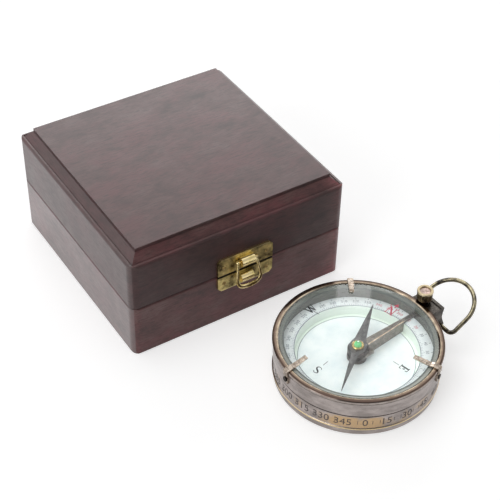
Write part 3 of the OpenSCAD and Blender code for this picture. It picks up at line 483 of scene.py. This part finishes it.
materials = {name: metalMaterial(name) for name in metalSet if name != "caseBronze"}
materials["plateBrass"] = plateMaterial("plateBrass", "boxBrass")
materials["caseBronze"] = turnedMaterial("caseBronze")
materials["bezelCopper"] = bezelMaterial("bezelCopper")
materials.update({name: woodMaterial(name) for name in boardSet})
materials["velvet"] = velvetMaterial("velvet")
enamelSet = {
    "dialWhite": ((0.90, 0.92, 0.93), (0.68, 0.76, 0.80), (0.86, 0.93, 0.86), (24.2, 24.3)),
    "scaleWhite": ((0.82, 0.84, 0.85), (0.66, 0.70, 0.74), (0.86, 0.93, 0.86), (25.66, 25.62)),
}
materials.update({name: enamelMaterial(name, *values) for name, values in enamelSet.items()})
materials["clearGlass"] = glassMaterial("clearGlass")
materials["packing"] = packingMaterial("packing")
materials["greenJewel"] = jewelMaterial("greenJewel")
materials["darkInk"] = inkMaterial("darkInk", (0.008, 0.009, 0.011), (0.03, 0.035, 0.04))
materials["greyInk"] = inkMaterial("greyInk", (0.09, 0.11, 0.15), (0.24, 0.28, 0.34))
materials["redInk"] = inkMaterial("redInk", (0.55, 0.05, 0.09), (0.60, 0.20, 0.24))
materials["engraving"] = inkMaterial("engraving", (0.075, 0.06, 0.055), (0.18, 0.155, 0.15))

finishes = {
    "woodLidTop": ["lid_panel"],
    "woodLidFront": ["lid_front_wall", "lid_back_wall"],
    "woodLidSide": ["lid_left_wall", "lid_right_wall"],
    "woodBaseFront": ["base_front_wall", "base_back_wall"],
    "woodBaseSide": ["base_left_wall", "base_right_wall"],
    "woodInside": ["base_floor"],
    "velvet": ["base_lining", "lid_lining"],
    "boxBrass": ["left_hinge_base_leaf", "right_hinge_base_leaf", "left_hinge_lid_leaf",
                 "right_hinge_lid_leaf"],
    "plateBrass": ["catch_plate", "latch_plate"],
    "boxNail": ["left_hinge_pin", "right_hinge_pin", "base_hinge_screws", "lid_hinge_screws", "catch_nails",
                "latch_nails"],
    "bailBrass": ["latch_bail"],
    "caseBronze": ["case_body"],
    "coverBronze": ["bottom_cover"],
    "bezelCopper": ["bezel"],
    "clearGlass": ["glass"],
    "packing": ["packing_ring"],
    "clawCopper": ["back_claw", "left_claw", "front_claw"],
    "darkScrew": ["claw_screws", "lug_screws"],
    "dialWhite": ["dial_plate"],
    "scaleWhite": ["scale_ring"],
    "steel": ["pivot_post", "fulcrum_pin"],
    "lugBronze": ["lug"],
    "drumBronze": ["lift_drum"],
    "leverMetal": ["lock_lever"],
    "needleSteel": ["needle_blade"],
    "needleBrass": ["needle_collar"],
    "greenJewel": ["needle_jewel"],
    "stemCopper": ["lock_stem"],
    "knobBronze": ["lock_knob"],
    "inlayCopper": ["knob_inlay"],
    "ringBronze": ["carry_ring"],
}
for finish, names in finishes.items():
    for name in names:
        data = nodes[name].data
        data.materials.clear()
        data.materials.append(materials[finish])
print("materials on", sum(len(v) for v in finishes.values()), "nodes")


# meshes
def gridFaces(rows, cols, wrapRows=False, wrapCols=False):
    # the quads of a grid of rows x cols points
    i, j = np.meshgrid(np.arange(rows - (not wrapRows)), np.arange(cols - (not wrapCols)), indexing="ij")
    n, m = (i + 1) % rows, (j + 1) % cols
    return np.stack([i * cols + j, n * cols + j, n * cols + m, i * cols + m], -1).reshape(-1, 4)


def addPiece(name, points, faces, finish, body, slot, smooth=True):
    # points in mm make a mesh whose doubles are merged and whose faces look outwards
    mesh = bpy.data.meshes.new(name)
    mesh.from_pydata((np.asarray(points, float).reshape(-1, 3) * mm).tolist(), [], [list(f) for f in faces])
    work = bmesh.new()
    work.from_mesh(mesh)
    bmesh.ops.remove_doubles(work, verts=work.verts, dist=1e-7)
    bmesh.ops.dissolve_degenerate(work, edges=work.edges, dist=1e-8)
    bmesh.ops.recalc_face_normals(work, faces=work.faces)
    work.to_mesh(mesh)
    work.free()
    mesh.shade_smooth() if smooth else mesh.shade_flat()
    mesh.materials.append(materials[finish])
    made = bpy.data.objects.new(name, mesh)
    scene.collection.objects.link(made)
    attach(made, body)
    return made


def gather(parts):
    # joins (points, faces) pairs into one pair
    points, faces, count = [], [], 0
    for spots, quads in parts:
        points.append(np.asarray(spots).reshape(-1, 3))
        faces += [[i + count for i in face] for face in quads]
        count += len(points[-1])
    return np.concatenate(points), faces


def ringPath(radius, turn, centre):
    # the point at a radius and a turn in degrees about a centre
    a = np.radians(turn)
    return np.stack([centre[0] + radius * np.cos(a), centre[1] + radius * np.sin(a)], -1)


def lathe(profile, centre, count=64, closed=False, knurls=None):
    # radius and height pairs turned about an upright axis; knurls are the low and high end of grooves in all
    # radii over 1 mm, their depth and their number
    turn = np.linspace(0, 360, count + 1)[:-1]
    grid = []
    for r, z in profile:
        cut = knurls is not None and knurls[0] < z < knurls[1] and r > 1
        depth = knurls[2] * (np.cos(np.radians(turn) * knurls[3]) < 0) if cut else 0
        grid.append(np.column_stack([ringPath(r - depth, turn, centre), np.full(count, z)]))
    return np.stack(grid), gridFaces(len(profile), count, wrapRows=closed, wrapCols=True)


def capped(grid):
    # a tube given as rings of points, closed at both ends
    n, m = grid.shape[:2]
    ends = [list(range(m))[::-1], [(n - 1) * m + i for i in range(m)]]
    return grid, gridFaces(n, m, wrapCols=True).tolist() + ends


def prism(outline, low, high):
    # a flat outline given a thickness: its points twice, side quads and two caps
    outline = np.asarray(outline, float)
    n = len(outline)
    points = np.concatenate([np.column_stack([outline, np.full(n, z)]) for z in (low, high)])
    sides = [[i, (i + 1) % n, n + (i + 1) % n, n + i] for i in range(n)]
    return points, sides + [list(range(n))[::-1], list(range(n, 2 * n))]


def aboutAxis(x, y, degrees):
    # x and y in the compass's own frame, turned and moved to its axis
    a = math.radians(degrees)
    return (compassSet["x"] + x * math.cos(a) - y * math.sin(a),
            compassSet["y"] + x * math.sin(a) + y * math.cos(a))


# linings: both are one closed skin, laid out as rings of points about a centre
baseLiningSet = {"half": 42.4, "centre": -3.4, "pocket": 37.0, "bayReach": 42.6, "bayHalf": 14.95,
                 "bayTurn": 45, "least": 1.9, "low": 4.0, "floor": 6.0, "top": 21.0, "lip": 1.3,
                 "lipShare": 0.6, "edge": 0.7, "sink": 0.35,
                 "foot": [(1.2, 0.1), (0.5, 0.25), (0.1, 0.7), (0, 1.4)]}


def baseLining():
    # each ring holds one height and one share of the way from the pocket's wall to the outer wall, at every
    # turn; the wall is the further of the round pocket's and the lug bay's, and the outer one is a square
    cs = baseLiningSet
    ends = np.array([-cs["half"], cs["half"]]) - cs["centre"]
    corners = np.degrees(np.arctan2(*np.meshgrid(ends, ends))).ravel()
    even = np.linspace(-180, 180, 361)[:-1] + 0.01  # a little off, to stay clear of the corners
    turn = np.sort(np.concatenate([even, corners]))
    cx, cy = np.cos(np.radians(turn)), np.sin(np.radians(turn))
    off = np.radians(turn - cs["bayTurn"])
    ahead, aside = np.maximum(np.cos(off), 0.05), np.maximum(np.abs(np.sin(off)), 1e-6)
    bay = np.where(np.cos(off) > 0.05, np.minimum(cs["bayReach"] / ahead, cs["bayHalf"] / aside), 0)
    outer = np.minimum(np.where(cx > 0, ends[1], -ends[0]) / np.abs(cx),
                       np.where(cy > 0, ends[1], -ends[0]) / np.abs(cy))
    inner = np.minimum(np.maximum(cs["pocket"], bay), outer - cs["least"])
    zero, lip, edge, top, sink = np.zeros_like(turn), cs["lip"], cs["edge"], cs["top"], cs["sink"]
    crest = inner + lip * cs["lipShare"]
    rows = [(zero, cs["floor"]), (inner * 0.5, cs["floor"] + cs["foot"][0][1])]
    rows += [(inner - inset, cs["floor"] + rise) for inset, rise in cs["foot"]]
    rows += [(crest - lip * cs["lipShare"] * math.cos(a), top - lip * (1 - math.sin(a)) - sink * math.cos(a))
             for a in np.radians(np.linspace(0, 90, 7))]
    rows += [(crest + (outer - edge - crest) * s, top - sink * (2 * s - 1) ** 4 * s)
             for s in (0.25, 0.5, 0.75)]
    rows += [(outer - edge * (1 - math.cos(a)), top - sink - edge * (1 - math.sin(a)))
             for a in np.radians(np.linspace(90, 0, 6))]
    rows += [(outer, cs["low"]), (zero, cs["low"])]
    grid = np.stack([np.stack([cs["centre"] + r * cx, cs["centre"] + r * cy, np.full_like(cx, z)], -1)
                     for r, z in rows])
    return grid, gridFaces(len(rows), len(turn), wrapCols=True)


lining = addPiece("baseVelvet", *baseLining(), "velvet", "box_base", "lining")
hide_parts("base_lining")

lidLiningSet = {"half": 42.4, "low": 43.9, "top": 46.9, "round": 1.6, "square": 26, "swell": 0.5}


def lidLining():
    # a padded square: the ring at share s of the way out lies on |x|^k + |y|^k = 1 times s, and it swells
    # down towards its middle
    cs = lidLiningSet
    turn = np.radians(np.linspace(0, 360, 361)[:-1])
    k, bend, foot = cs["square"], cs["round"], cs["low"] + cs["swell"]
    outer = cs["half"] / (np.abs(np.cos(turn)) ** k + np.abs(np.sin(turn)) ** k) ** (1 / k)
    rows = [(s * (outer - bend), cs["low"] + cs["swell"] * s ** 3) for s in np.linspace(0, 1, 12)]
    rows += [(outer - bend * (1 - math.sin(a)), foot + bend * (1 - math.cos(a)))
             for a in np.radians(np.linspace(15, 90, 6))]
    rows += [(outer, cs["top"]), (outer * 0, cs["top"])]
    grid = np.stack([np.stack([r * np.cos(turn), r * np.sin(turn), np.full_like(turn, z)], -1)
                     for r, z in rows])
    return grid, gridFaces(len(rows), len(turn), wrapCols=True)


lining = addPiece("lidVelvet", *lidLining(), "velvet", "lid", "lining")
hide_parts("lid_lining")
print("linings made")

# needle: a long lozenge with a ridge along the middle
needleSet = {"turn": 39.7, "reach": 25.8, "low": 14.15, "edge": 14.27, "ridge": 14.55, "north": 2.3,
             "south": 1.5, "waist": 3.6, "shoulder": 4.4, "tip": 0.12, "steps": 46, "nearest": 0.05}


def needleBlade():
    # at each distance from the pivot the blade has a half width: the waist's at the middle, falling to the
    # shoulder and then in a straight line to the tip; across it the top rises in a straight line to the ridge
    cs = needleSet
    steps = np.geomspace(cs["reach"], cs["nearest"], cs["steps"])  # closer together at the pivot
    away = np.concatenate([-steps + cs["nearest"], steps[::-1]])
    away[0], away[-1] = -cs["reach"], cs["reach"]
    far = np.abs(away)
    side = np.where(away > 0, cs["north"], cs["south"])
    slope = (cs["reach"] - far) / (cs["reach"] - cs["shoulder"])
    half = np.where(far > cs["shoulder"], cs["tip"] + (side - cs["tip"]) * slope,
                    side + (cs["waist"] - side) * (1 - (far / cs["shoulder"]) ** 2))
    across = np.array([-1, -1, -0.5, 0, 0.5, 1, 1, 0, -1])
    low, edge, ridge = cs["low"], cs["edge"], cs["ridge"]
    lift = np.array([low, edge, (edge + ridge) / 2, ridge, (edge + ridge) / 2, edge, low, low, low])
    x, y = aboutAxis(away[:, None] + 0 * across, half[:, None] * across, cs["turn"])
    return capped(np.stack([x, y, np.broadcast_to(lift, x.shape)], -1))


blade = addPiece("ridgedNeedle", *needleBlade(), "needleSteel", "needle", "needle_steel", smooth=False)
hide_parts("needle_blade")

# the needle's cap: a cone with a round tip
jewelSet = {"profile": [(0, 15.1), (1.65, 15.1), (1.7, 15.3), (1.6, 15.7), (1.3, 16.3), (0.9, 16.8),
                        (0.5, 17.08), (0.25, 17.15), (0, 17.18)]}
hub = (compassSet["x"], compassSet["y"])
jewel = addPiece("needleCap", *lathe(jewelSet["profile"], hub), "greenJewel", "needle", "green_jewel")
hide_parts("needle_jewel")

# the washer under the glass, a hair below it
packingSet = {"profile": [(30.2, 17.61), (32.3, 17.61), (32.3, 17.92), (30.2, 17.92)], "count": 180}
washer = addPiece("washer", *lathe(packingSet["profile"], hub, packingSet["count"], closed=True), "packing",
                  "compass", "packing", smooth=False)
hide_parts("packing_ring")

# the lock's knob: a grooved side under a bright rim
knobSet = {"turn": 6.5, "at": 37, "knurls": (21.0, 23.95, 0.14, 24), "count": 144,
           "profile": [(0.95, 20.5), (3.15, 20.5), (3.3, 20.75), (3.3, 21.2), (3.3, 23.9), (3.3, 24.0),
                       (3.45, 24.15), (3.45, 24.7), (3.3, 24.88), (2.45, 24.88), (2.31, 24.75), (2.31, 23.58),
                       (0.01, 23.58), (0.01, 23), (0.95, 23)]}
knob = addPiece("grippedKnob", *lathe(knobSet["profile"], aboutAxis(knobSet["at"], 0, knobSet["turn"]),
                                      knobSet["count"], True, knobSet["knurls"]),
                "knobBronze", "lock_knob", "knob_bronze", smooth=False)
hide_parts("lock_knob")
print("needle, washer and knob made")

leverSet = {"from": 4.4, "to": 25.3, "halfFrom": 1.7, "halfTo": 0.95, "width": 0.42, "top": 13.85,
            "thick": 0.04}


def leverEdge():
    # a thin strip along the front edge of the lever's top: the copper where its finish is worn through,
    # brightened into a painted highlight on the edge
    cs = leverSet
    out = np.array([cs["from"], cs["to"], cs["to"], cs["from"]])
    start, end = -cs["halfFrom"], -cs["halfTo"]
    side = np.array([start, end, end + cs["width"], start + cs["width"]])
    flat = np.column_stack(aboutAxis(out, side, knobSet["turn"]))
    return prism(flat, cs["top"], cs["top"] + cs["thick"])


# the lever's bright edge strip is a painted highlight on worn copper
addPiece("leverWornAndLitEdge", *leverEdge(), "leverEdge", "lock_lever", "stem_copper", smooth=False)

# the latch's bail: a strip with a domed face bent to a loop that widens downwards
bailSet = {"x": 1.3, "y": -54.0, "z": 31.0, "lean": 12.6, "thick": 0.95, "points": 121, "blur": 4,
           "path": [(4.45, -0.5, 1.2), (4.5, 0.6, 1.2), (4.95, 3.5, 1.15), (5.5, 6.5, 1.2), (5.85, 8.6, 1.35),
                    (5.7, 10.3, 1.6), (4.6, 11.6, 1.8), (2.6, 12.2, 1.95), (0, 12.3, 2.0)],
           "pin": {"radius": 0.68, "from": 3.15, "to": 5.2, "points": 24}}


def bailLoop():
    # along the path the loop has a place and a width; round it the section is |across|^3 + |out|^2.5 = 1
    cs = bailSet
    half = np.array(cs["path"])
    way = np.concatenate([half * (-1, 1, 1), half[-2::-1]])
    knots = np.concatenate([[0], np.cumsum(np.hypot(*np.diff(way[:, :2], axis=0).T))])
    at = np.linspace(0, knots[-1], cs["points"])
    b = cs["blur"]
    for _ in range(2):  # softens the corners between the path's points
        line = np.column_stack([np.interp(at, knots, way[:, k]) for k in range(3)])
        soft = np.pad(line, ((b, b), (0, 0)), mode="edge")
        line[b:-b] = np.stack([soft[k:k + len(line)] for k in range(2 * b + 1)]).mean(0)[b:-b]
        way, knots = line, at
    ahead = np.gradient(line[:, :2], axis=0)
    ahead /= np.linalg.norm(ahead, axis=1)[:, None]
    aside = np.column_stack([-ahead[:, 1], ahead[:, 0]])
    turn = np.radians(np.linspace(0, 360, 17)[:-1])
    across = np.sign(np.cos(turn)) * np.abs(np.cos(turn)) ** (2 / 3)
    out = np.sign(np.sin(turn)) * np.abs(np.sin(turn)) ** (2 / 2.5) * cs["thick"] / 2
    flat = line[:, None, :2] + aside[:, None] * (across[None, :, None] * line[:, None, 2:] / 2)
    lift = np.broadcast_to(out, flat.shape[:2])
    a = math.radians(cs["lean"])
    x, down = flat[..., 0], flat[..., 1]
    return capped(np.stack([cs["x"] + x, cs["y"] - down * math.sin(a) - lift * math.cos(a),
                            cs["z"] - down * math.cos(a) + lift * math.sin(a)], -1))


def bailPin(side):
    # a round rod across the loop's top
    cs = bailSet["pin"]
    n = cs["points"]
    turn = np.radians(np.linspace(0, 360, n + 1)[:-1])
    y, z = bailSet["y"] + cs["radius"] * np.cos(turn), bailSet["z"] + cs["radius"] * np.sin(turn)
    return capped(np.stack([np.column_stack([np.full(n, bailSet["x"] + side * x), y, z])
                            for x in (cs["from"], cs["to"])]))


bail = addPiece("bailStrip", *gather([bailLoop(), bailPin(-1), bailPin(1)]), "bailBrass", "latch_bail",
                "bail_brass")
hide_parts("latch_bail")
print("lever and bail made")


# printed and engraved marks
def glyphs(text, height):
    # the built-in font's letters as one flat mesh, centred, with the given height in mm; x, y and faces
    curve = bpy.data.curves.new("glyphs", "FONT")
    curve.body, curve.size, curve.extrude = text, 1, 0.02
    curve.resolution_u = 3
    holder = bpy.data.objects.new("glyphs", curve)
    scene.collection.objects.link(holder)
    bpy.context.view_layer.update()
    flat = bpy.data.meshes.new_from_object(holder.evaluated_get(bpy.context.evaluated_depsgraph_get()))
    spots = np.empty(len(flat.vertices) * 3)
    flat.vertices.foreach_get("co", spots)
    spots = spots.reshape(-1, 3)
    faces = [list(p.vertices) for p in flat.polygons]
    bpy.data.objects.remove(holder)
    bpy.data.curves.remove(curve)
    bpy.data.meshes.remove(flat)
    low, high = spots.min(0), spots.max(0)
    return np.column_stack([(spots[:, :2] - (low + high)[:2] / 2) * (height / (high - low)[1]),
                            (spots[:, 2] > 0) * 1.0]), faces


def onDial(spots, radius, turn, low, high, shift=(0, 0)):
    # lays flat marks on a level ring: their middle at a radius and turn, their tops outwards
    a = math.radians(turn)
    out, along = spots[:, 1] + radius, spots[:, 0]
    return np.column_stack([compassSet["x"] + shift[0] + out * math.cos(a) + along * math.sin(a),
                            compassSet["y"] + shift[1] + out * math.sin(a) - along * math.cos(a),
                            np.where(spots[:, 2] > 0.5, high, low)])


def onBand(spots, turn, middle, low, high):
    # wraps flat marks round the case's band: x runs round it, y up it
    radius = np.where(spots[:, 2] > 0.5, high, low)
    a = np.radians(turn) + spots[:, 0] / low
    return np.column_stack([compassSet["x"] + radius * np.cos(a), compassSet["y"] + radius * np.sin(a),
                            middle + spots[:, 1]])


def bar(width, height):
    # an upright rectangle, centred
    x, y = width / 2, height / 2
    return prism([(-x, -y), (x, -y), (x, y), (-x, y)], 0, 1)


def flatRing(radii, low, high):
    # a ring between two radii and two heights
    inner, outer = radii
    return lathe([(inner, low), (outer, low), (outer, high), (inner, high)], hub, 240, closed=True)


dialSet = {"line": (24.1, 24.32), "scaleLine": (25.65, 25.95), "thick": 0.02}
thick, dialTop, scaleTop = dialSet["thick"], compassSet["dialTop"], compassSet["scaleTop"]
addPiece("dialLines", *gather([flatRing(dialSet["line"], dialTop, dialTop + thick),
                               flatRing(dialSet["scaleLine"], scaleTop, scaleTop + thick)]),
         "greyInk", "compass", "dark_screw", smooth=False)

# the scale: a tick at each 2 degrees, a longer one at each 10 with its figure, red near north, and a mark
# outside it
scaleSet = {"north": 15.5, "tickFoot": 26.0, "tick": (0.13, 0.8), "longTick": (0.13, 1.5), "numberAt": 28.5,
            "numberHeight": 1.35, "outerAt": 30.3, "outer": (0.2, 0.9), "red": 25}
dark, red = [], []
for step in range(180):
    spots, quads = bar(*scaleSet["tick" if step % 5 else "longTick"])
    foot = scaleSet["tickFoot"] - spots[:, 1].min()
    dark.append((onDial(spots, foot, scaleSet["north"] - step * 2, scaleTop, scaleTop + thick), quads))
for step in range(36):
    turn = scaleSet["north"] - step * 10
    near = abs((step * 10 + 180) % 360 - 180) <= scaleSet["red"]
    spots, quads = glyphs(str(step * 10 or 360), scaleSet["numberHeight"])
    spots = onDial(spots, scaleSet["numberAt"], turn, scaleTop, scaleTop + thick)
    (red if near else dark).append((spots, quads))
    spots, quads = bar(*scaleSet["outer"])
    dark.append((onDial(spots, scaleSet["outerAt"], turn, scaleTop, scaleTop + thick), quads))
addPiece("scaleFigures", *gather(dark), "greyInk", "compass", "dark_screw", smooth=False)
addPiece("scaleRedFigures", *gather(red), "redInk", "compass", "scale_white", smooth=False)

# the letters on the glass, each with a dash towards the middle; a small arrow and bars go round the north one
letterSet = {
    "radius": 24.3,
    "height": 3.9,
    "shift": (-0.5, 0.7),
    "turn": {"N": 14.3, "E": -75, "S": 195, "W": 105},
    "dash": {"E": 20.2, "S": 19.4, "W": 21.2},
    "dashSize": (0.22, 2.8),
    "north": {"radius": 22.3, "grow": 1.15,
              "arrow": [[(-0.22, 2.2), (0.22, 2.2), (0.22, 3.5), (-0.22, 3.5)],
                        [(-1.1, 3.3), (1.1, 3.3), (0, 5.2)],
                        [(-2.2, 2.0), (-1.9, 2.0), (-1.9, 3.0), (-2.2, 3.0)],
                        [(1.9, 2.0), (2.2, 2.0), (2.2, 3.0), (1.9, 3.0)],
                        [(-2.2, -2.3), (2.2, -2.3), (2.2, -2.05), (-2.2, -2.05)]]},
}
letterShapes = {
    "E": [(0, 0), (0.62, 0), (0.68, 0.26), (0.62, 0.26), (0.52, 0.06), (0.28, 0.06), (0.28, 0.47),
          (0.42, 0.47), (0.45, 0.37), (0.51, 0.37), (0.51, 0.65), (0.45, 0.65), (0.42, 0.54), (0.28, 0.54),
          (0.28, 0.94), (0.50, 0.94), (0.58, 0.76), (0.64, 0.76), (0.60, 1), (0, 1), (0, 0.94),
          (0.11, 0.92), (0.11, 0.08), (0, 0.06)],
    "N": [(0, 0), (0.26, 0), (0.26, 0.05), (0.17, 0.07), (0.17, 0.80), (0.72, 0), (0.80, 0), (0.80, 0.93),
          (0.90, 0.95), (0.90, 1), (0.62, 1), (0.62, 0.95), (0.72, 0.93), (0.72, 0.26), (0.23, 1), (0, 1),
          (0, 0.95), (0.09, 0.92), (0.09, 0.07), (0, 0.05)],
    "W": [(0, 1), (0.32, 1), (0.32, 0.95), (0.25, 0.93), (0.41, 0.32), (0.55, 0.93), (0.49, 0.95), (0.49, 1),
          (0.81, 1), (0.81, 0.95), (0.74, 0.93), (0.90, 0.32), (1.04, 0.93), (0.96, 0.95), (0.96, 1),
          (1.22, 1), (1.22, 0.95), (1.13, 0.93), (0.88, 0), (0.80, 0), (0.63, 0.66), (0.40, 0), (0.32, 0),
          (0.09, 0.93), (0, 0.95)],
}
# the middle of the stroke of the S, and half its width
strokeOfS = np.array([(0.60, 0.74, 0.02), (0.57, 0.86, 0.03), (0.47, 0.945, 0.035), (0.32, 0.965, 0.04),
                      (0.18, 0.90, 0.05), (0.125, 0.77, 0.065), (0.19, 0.64, 0.08), (0.34, 0.54, 0.085),
                      (0.50, 0.44, 0.085), (0.60, 0.31, 0.075), (0.60, 0.17, 0.06), (0.49, 0.06, 0.045),
                      (0.32, 0.03, 0.035), (0.16, 0.08, 0.03), (0.09, 0.25, 0.02)])
ahead = np.gradient(strokeOfS[:, :2], axis=0)
ahead /= np.linalg.norm(ahead, axis=1)[:, None]
aside = np.column_stack([-ahead[:, 1], ahead[:, 0]]) * strokeOfS[:, 2:]
letterShapes["S"] = np.concatenate([strokeOfS[:, :2] + aside, (strokeOfS[:, :2] - aside)[::-1]])
low = compassSet["glassTop"] + 0.004
high = low + thick
dark, red = [], []
north = letterSet["north"]
for letter, turn in letterSet["turn"].items():
    shape = np.asarray(letterShapes[letter], float)
    shape = (shape - (shape.min(0) + shape.max(0)) / 2) * letterSet["height"]
    if letter == "N":
        spots, quads = prism(shape * north["grow"], 0, 1)
        red.append((onDial(spots, north["radius"], turn, low, high, letterSet["shift"]), quads))
        for outline in north["arrow"]:
            spots, quads = prism(outline, 0, 1)
            red.append((onDial(spots, north["radius"], turn, low, high, letterSet["shift"]), quads))
        continue
    for (spots, quads), radius in ((prism(shape, 0, 1), letterSet["radius"]),
                                   (bar(*letterSet["dashSize"]), letterSet["dash"][letter])):
        dark.append((onDial(spots, radius, turn, low, high, letterSet["shift"]), quads))
addPiece("dialLetters", *gather(dark), "darkInk", "compass", "dark_screw", smooth=False)
addPiece("northLetter", *gather(red), "redInk", "compass", "scale_white", smooth=False)

# degrees round the case's sunk band: a tick at each 5, a figure instead at each 15, and a gap at the lug
bandSet = {"middle": 7.1, "height": 3.5, "tick": (0.22, 2.0), "lug": 3.5, "clear": (14, 18), "start": -120,
           "depth": (-0.01, 0.02)}
parts = []
low, high = (compassSet["bandRadius"] + v for v in bandSet["depth"])
for step in range(72):
    turn = bandSet["start"] + step * 5
    numbered = step % 3 == 0
    if abs((turn - bandSet["lug"] + 180) % 360 - 180) >= bandSet["clear"][numbered]:
        spots, quads = glyphs(str(step * 5), bandSet["height"]) if numbered else bar(*bandSet["tick"])
        parts.append((onBand(spots, turn, bandSet["middle"], low, high), quads))
addPiece("bandFigures", *gather(parts), "engraving", "compass", "dark_screw", smooth=False)
print("marks made")

# stage: floor, world and lamps
floorSet = {"half": 3.0, "white": 0.70, "glow": 0.50, "mirrored": 0.34}
floorMesh = bpy.data.meshes.new("floor")
h = floorSet["half"]
floorMesh.from_pydata([(-h, -h, 0), (h, -h, 0), (h, h, 0), (-h, h, 0)], [], [(0, 1, 2, 3)])
floor = bpy.data.objects.new("floor", floorMesh)
scene.collection.objects.link(floor)
floorMaterial, tree, shader = newMaterial("floorPaper")
feed(tree, shader, Base_Color=(floorSet["white"],) * 3, Roughness=0.9, Specular_IOR_Level=0.1)
path = put(tree, "LightPath")
glossy = path.outputs["Is Glossy Ray"]
seen = maths(tree, "MAXIMUM", path.outputs["Is Camera Ray"], path.outputs["Is Transmission Ray"])
feed(tree, shader, Emission_Color=(1, 1, 1),
     Emission_Strength=maths(tree, "ADD", times(tree, seen, floorSet["glow"]),
                             times(tree, glossy, floorSet["mirrored"])))
floorMesh.materials.append(floorMaterial)

# the room is white, apart from a dim side high up where the camera stands and a small bright window
# behind the box, which only metal and glass show
worldSet = {"seen": 1.0, "light": 0.30, "dimSide": (-0.41, -0.63, 0.66), "dim": 0.22, "from": 0.45, "to": 0.8,
            "window": {"side": (0.7716, -0.6361, 0.0), "half": (0.014, 0.0125), "foot": (0.6725, 0.674),
                       "head": (0.6905, 0.689), "glow": 3.2}}
world = bpy.data.worlds.new("studio")
scene.world = world
world.use_nodes = True
tree = world.node_tree
path = put(tree, "LightPath")
outward = put(tree, "TexCoord").outputs["Generated"]


def facing(side):
    return put(tree, "VectorMath", {0: outward, 1: side}, operation="DOT_PRODUCT").outputs["Value"]


cs = worldSet["window"]
parts = put(tree, "SeparateXYZ", {0: outward}).outputs
aside = between(tree, maths(tree, "ABSOLUTE", facing(cs["side"])), *cs["half"])
upright = times(tree, between(tree, parts[2], *cs["foot"]), between(tree, parts[2], *cs["head"]))
inside = times(tree, times(tree, aside, upright), maths(tree, "GREATER_THAN", parts[1], 0.0))
room = put(tree, "MapRange", {0: facing(worldSet["dimSide"]), 1: worldSet["from"], 2: worldSet["to"],
                              3: worldSet["seen"], 4: worldSet["dim"]}).outputs[0]
room = maths(tree, "ADD", room, times(tree, inside, cs["glow"]))
glossy = path.outputs["Is Glossy Ray"]
clear = maths(tree, "MAXIMUM", path.outputs["Is Camera Ray"], path.outputs["Is Transmission Ray"])
shed = maths(tree, "ADD", times(tree, glossy, room), times(tree, inverse(tree, glossy), worldSet["light"]))
level = maths(tree, "ADD", times(tree, clear, worldSet["seen"]), times(tree, inverse(tree, clear), shed))
tree.links.new(level, tree.nodes["Background"].inputs["Strength"])
tree.nodes["Background"].inputs["Color"].default_value = (1, 1, 1, 1)

lampSet = {
    "overhead": {"place": (-0.15, 0.10, 1.1), "aim": (0, -0.03, 0), "size": (0.9, 0.9), "power": 4.2},
    "behind": {"place": (0.52, 1.12, 0.68), "aim": (0, 0, 0.05), "size": (1.2, 0.5), "power": 5.0},
    "left": {"place": (-0.9, -0.35, 0.55), "aim": (0, -0.02, 0.02), "size": (0.6, 0.6), "power": 3.5},
}
for name, cs in lampSet.items():
    data = bpy.data.lights.new(name, "AREA")
    data.shape = "RECTANGLE"
    data.size, data.size_y = cs["size"]
    data.energy = cs["power"]
    lamp = bpy.data.objects.new(name, data)
    lamp.rotation_euler = (Vector(cs["place"]) - Vector(cs["aim"])).to_track_quat("Z", "Y").to_euler()
    lamp.location = cs["place"]
    scene.collection.objects.link(lamp)
print("stage lit")
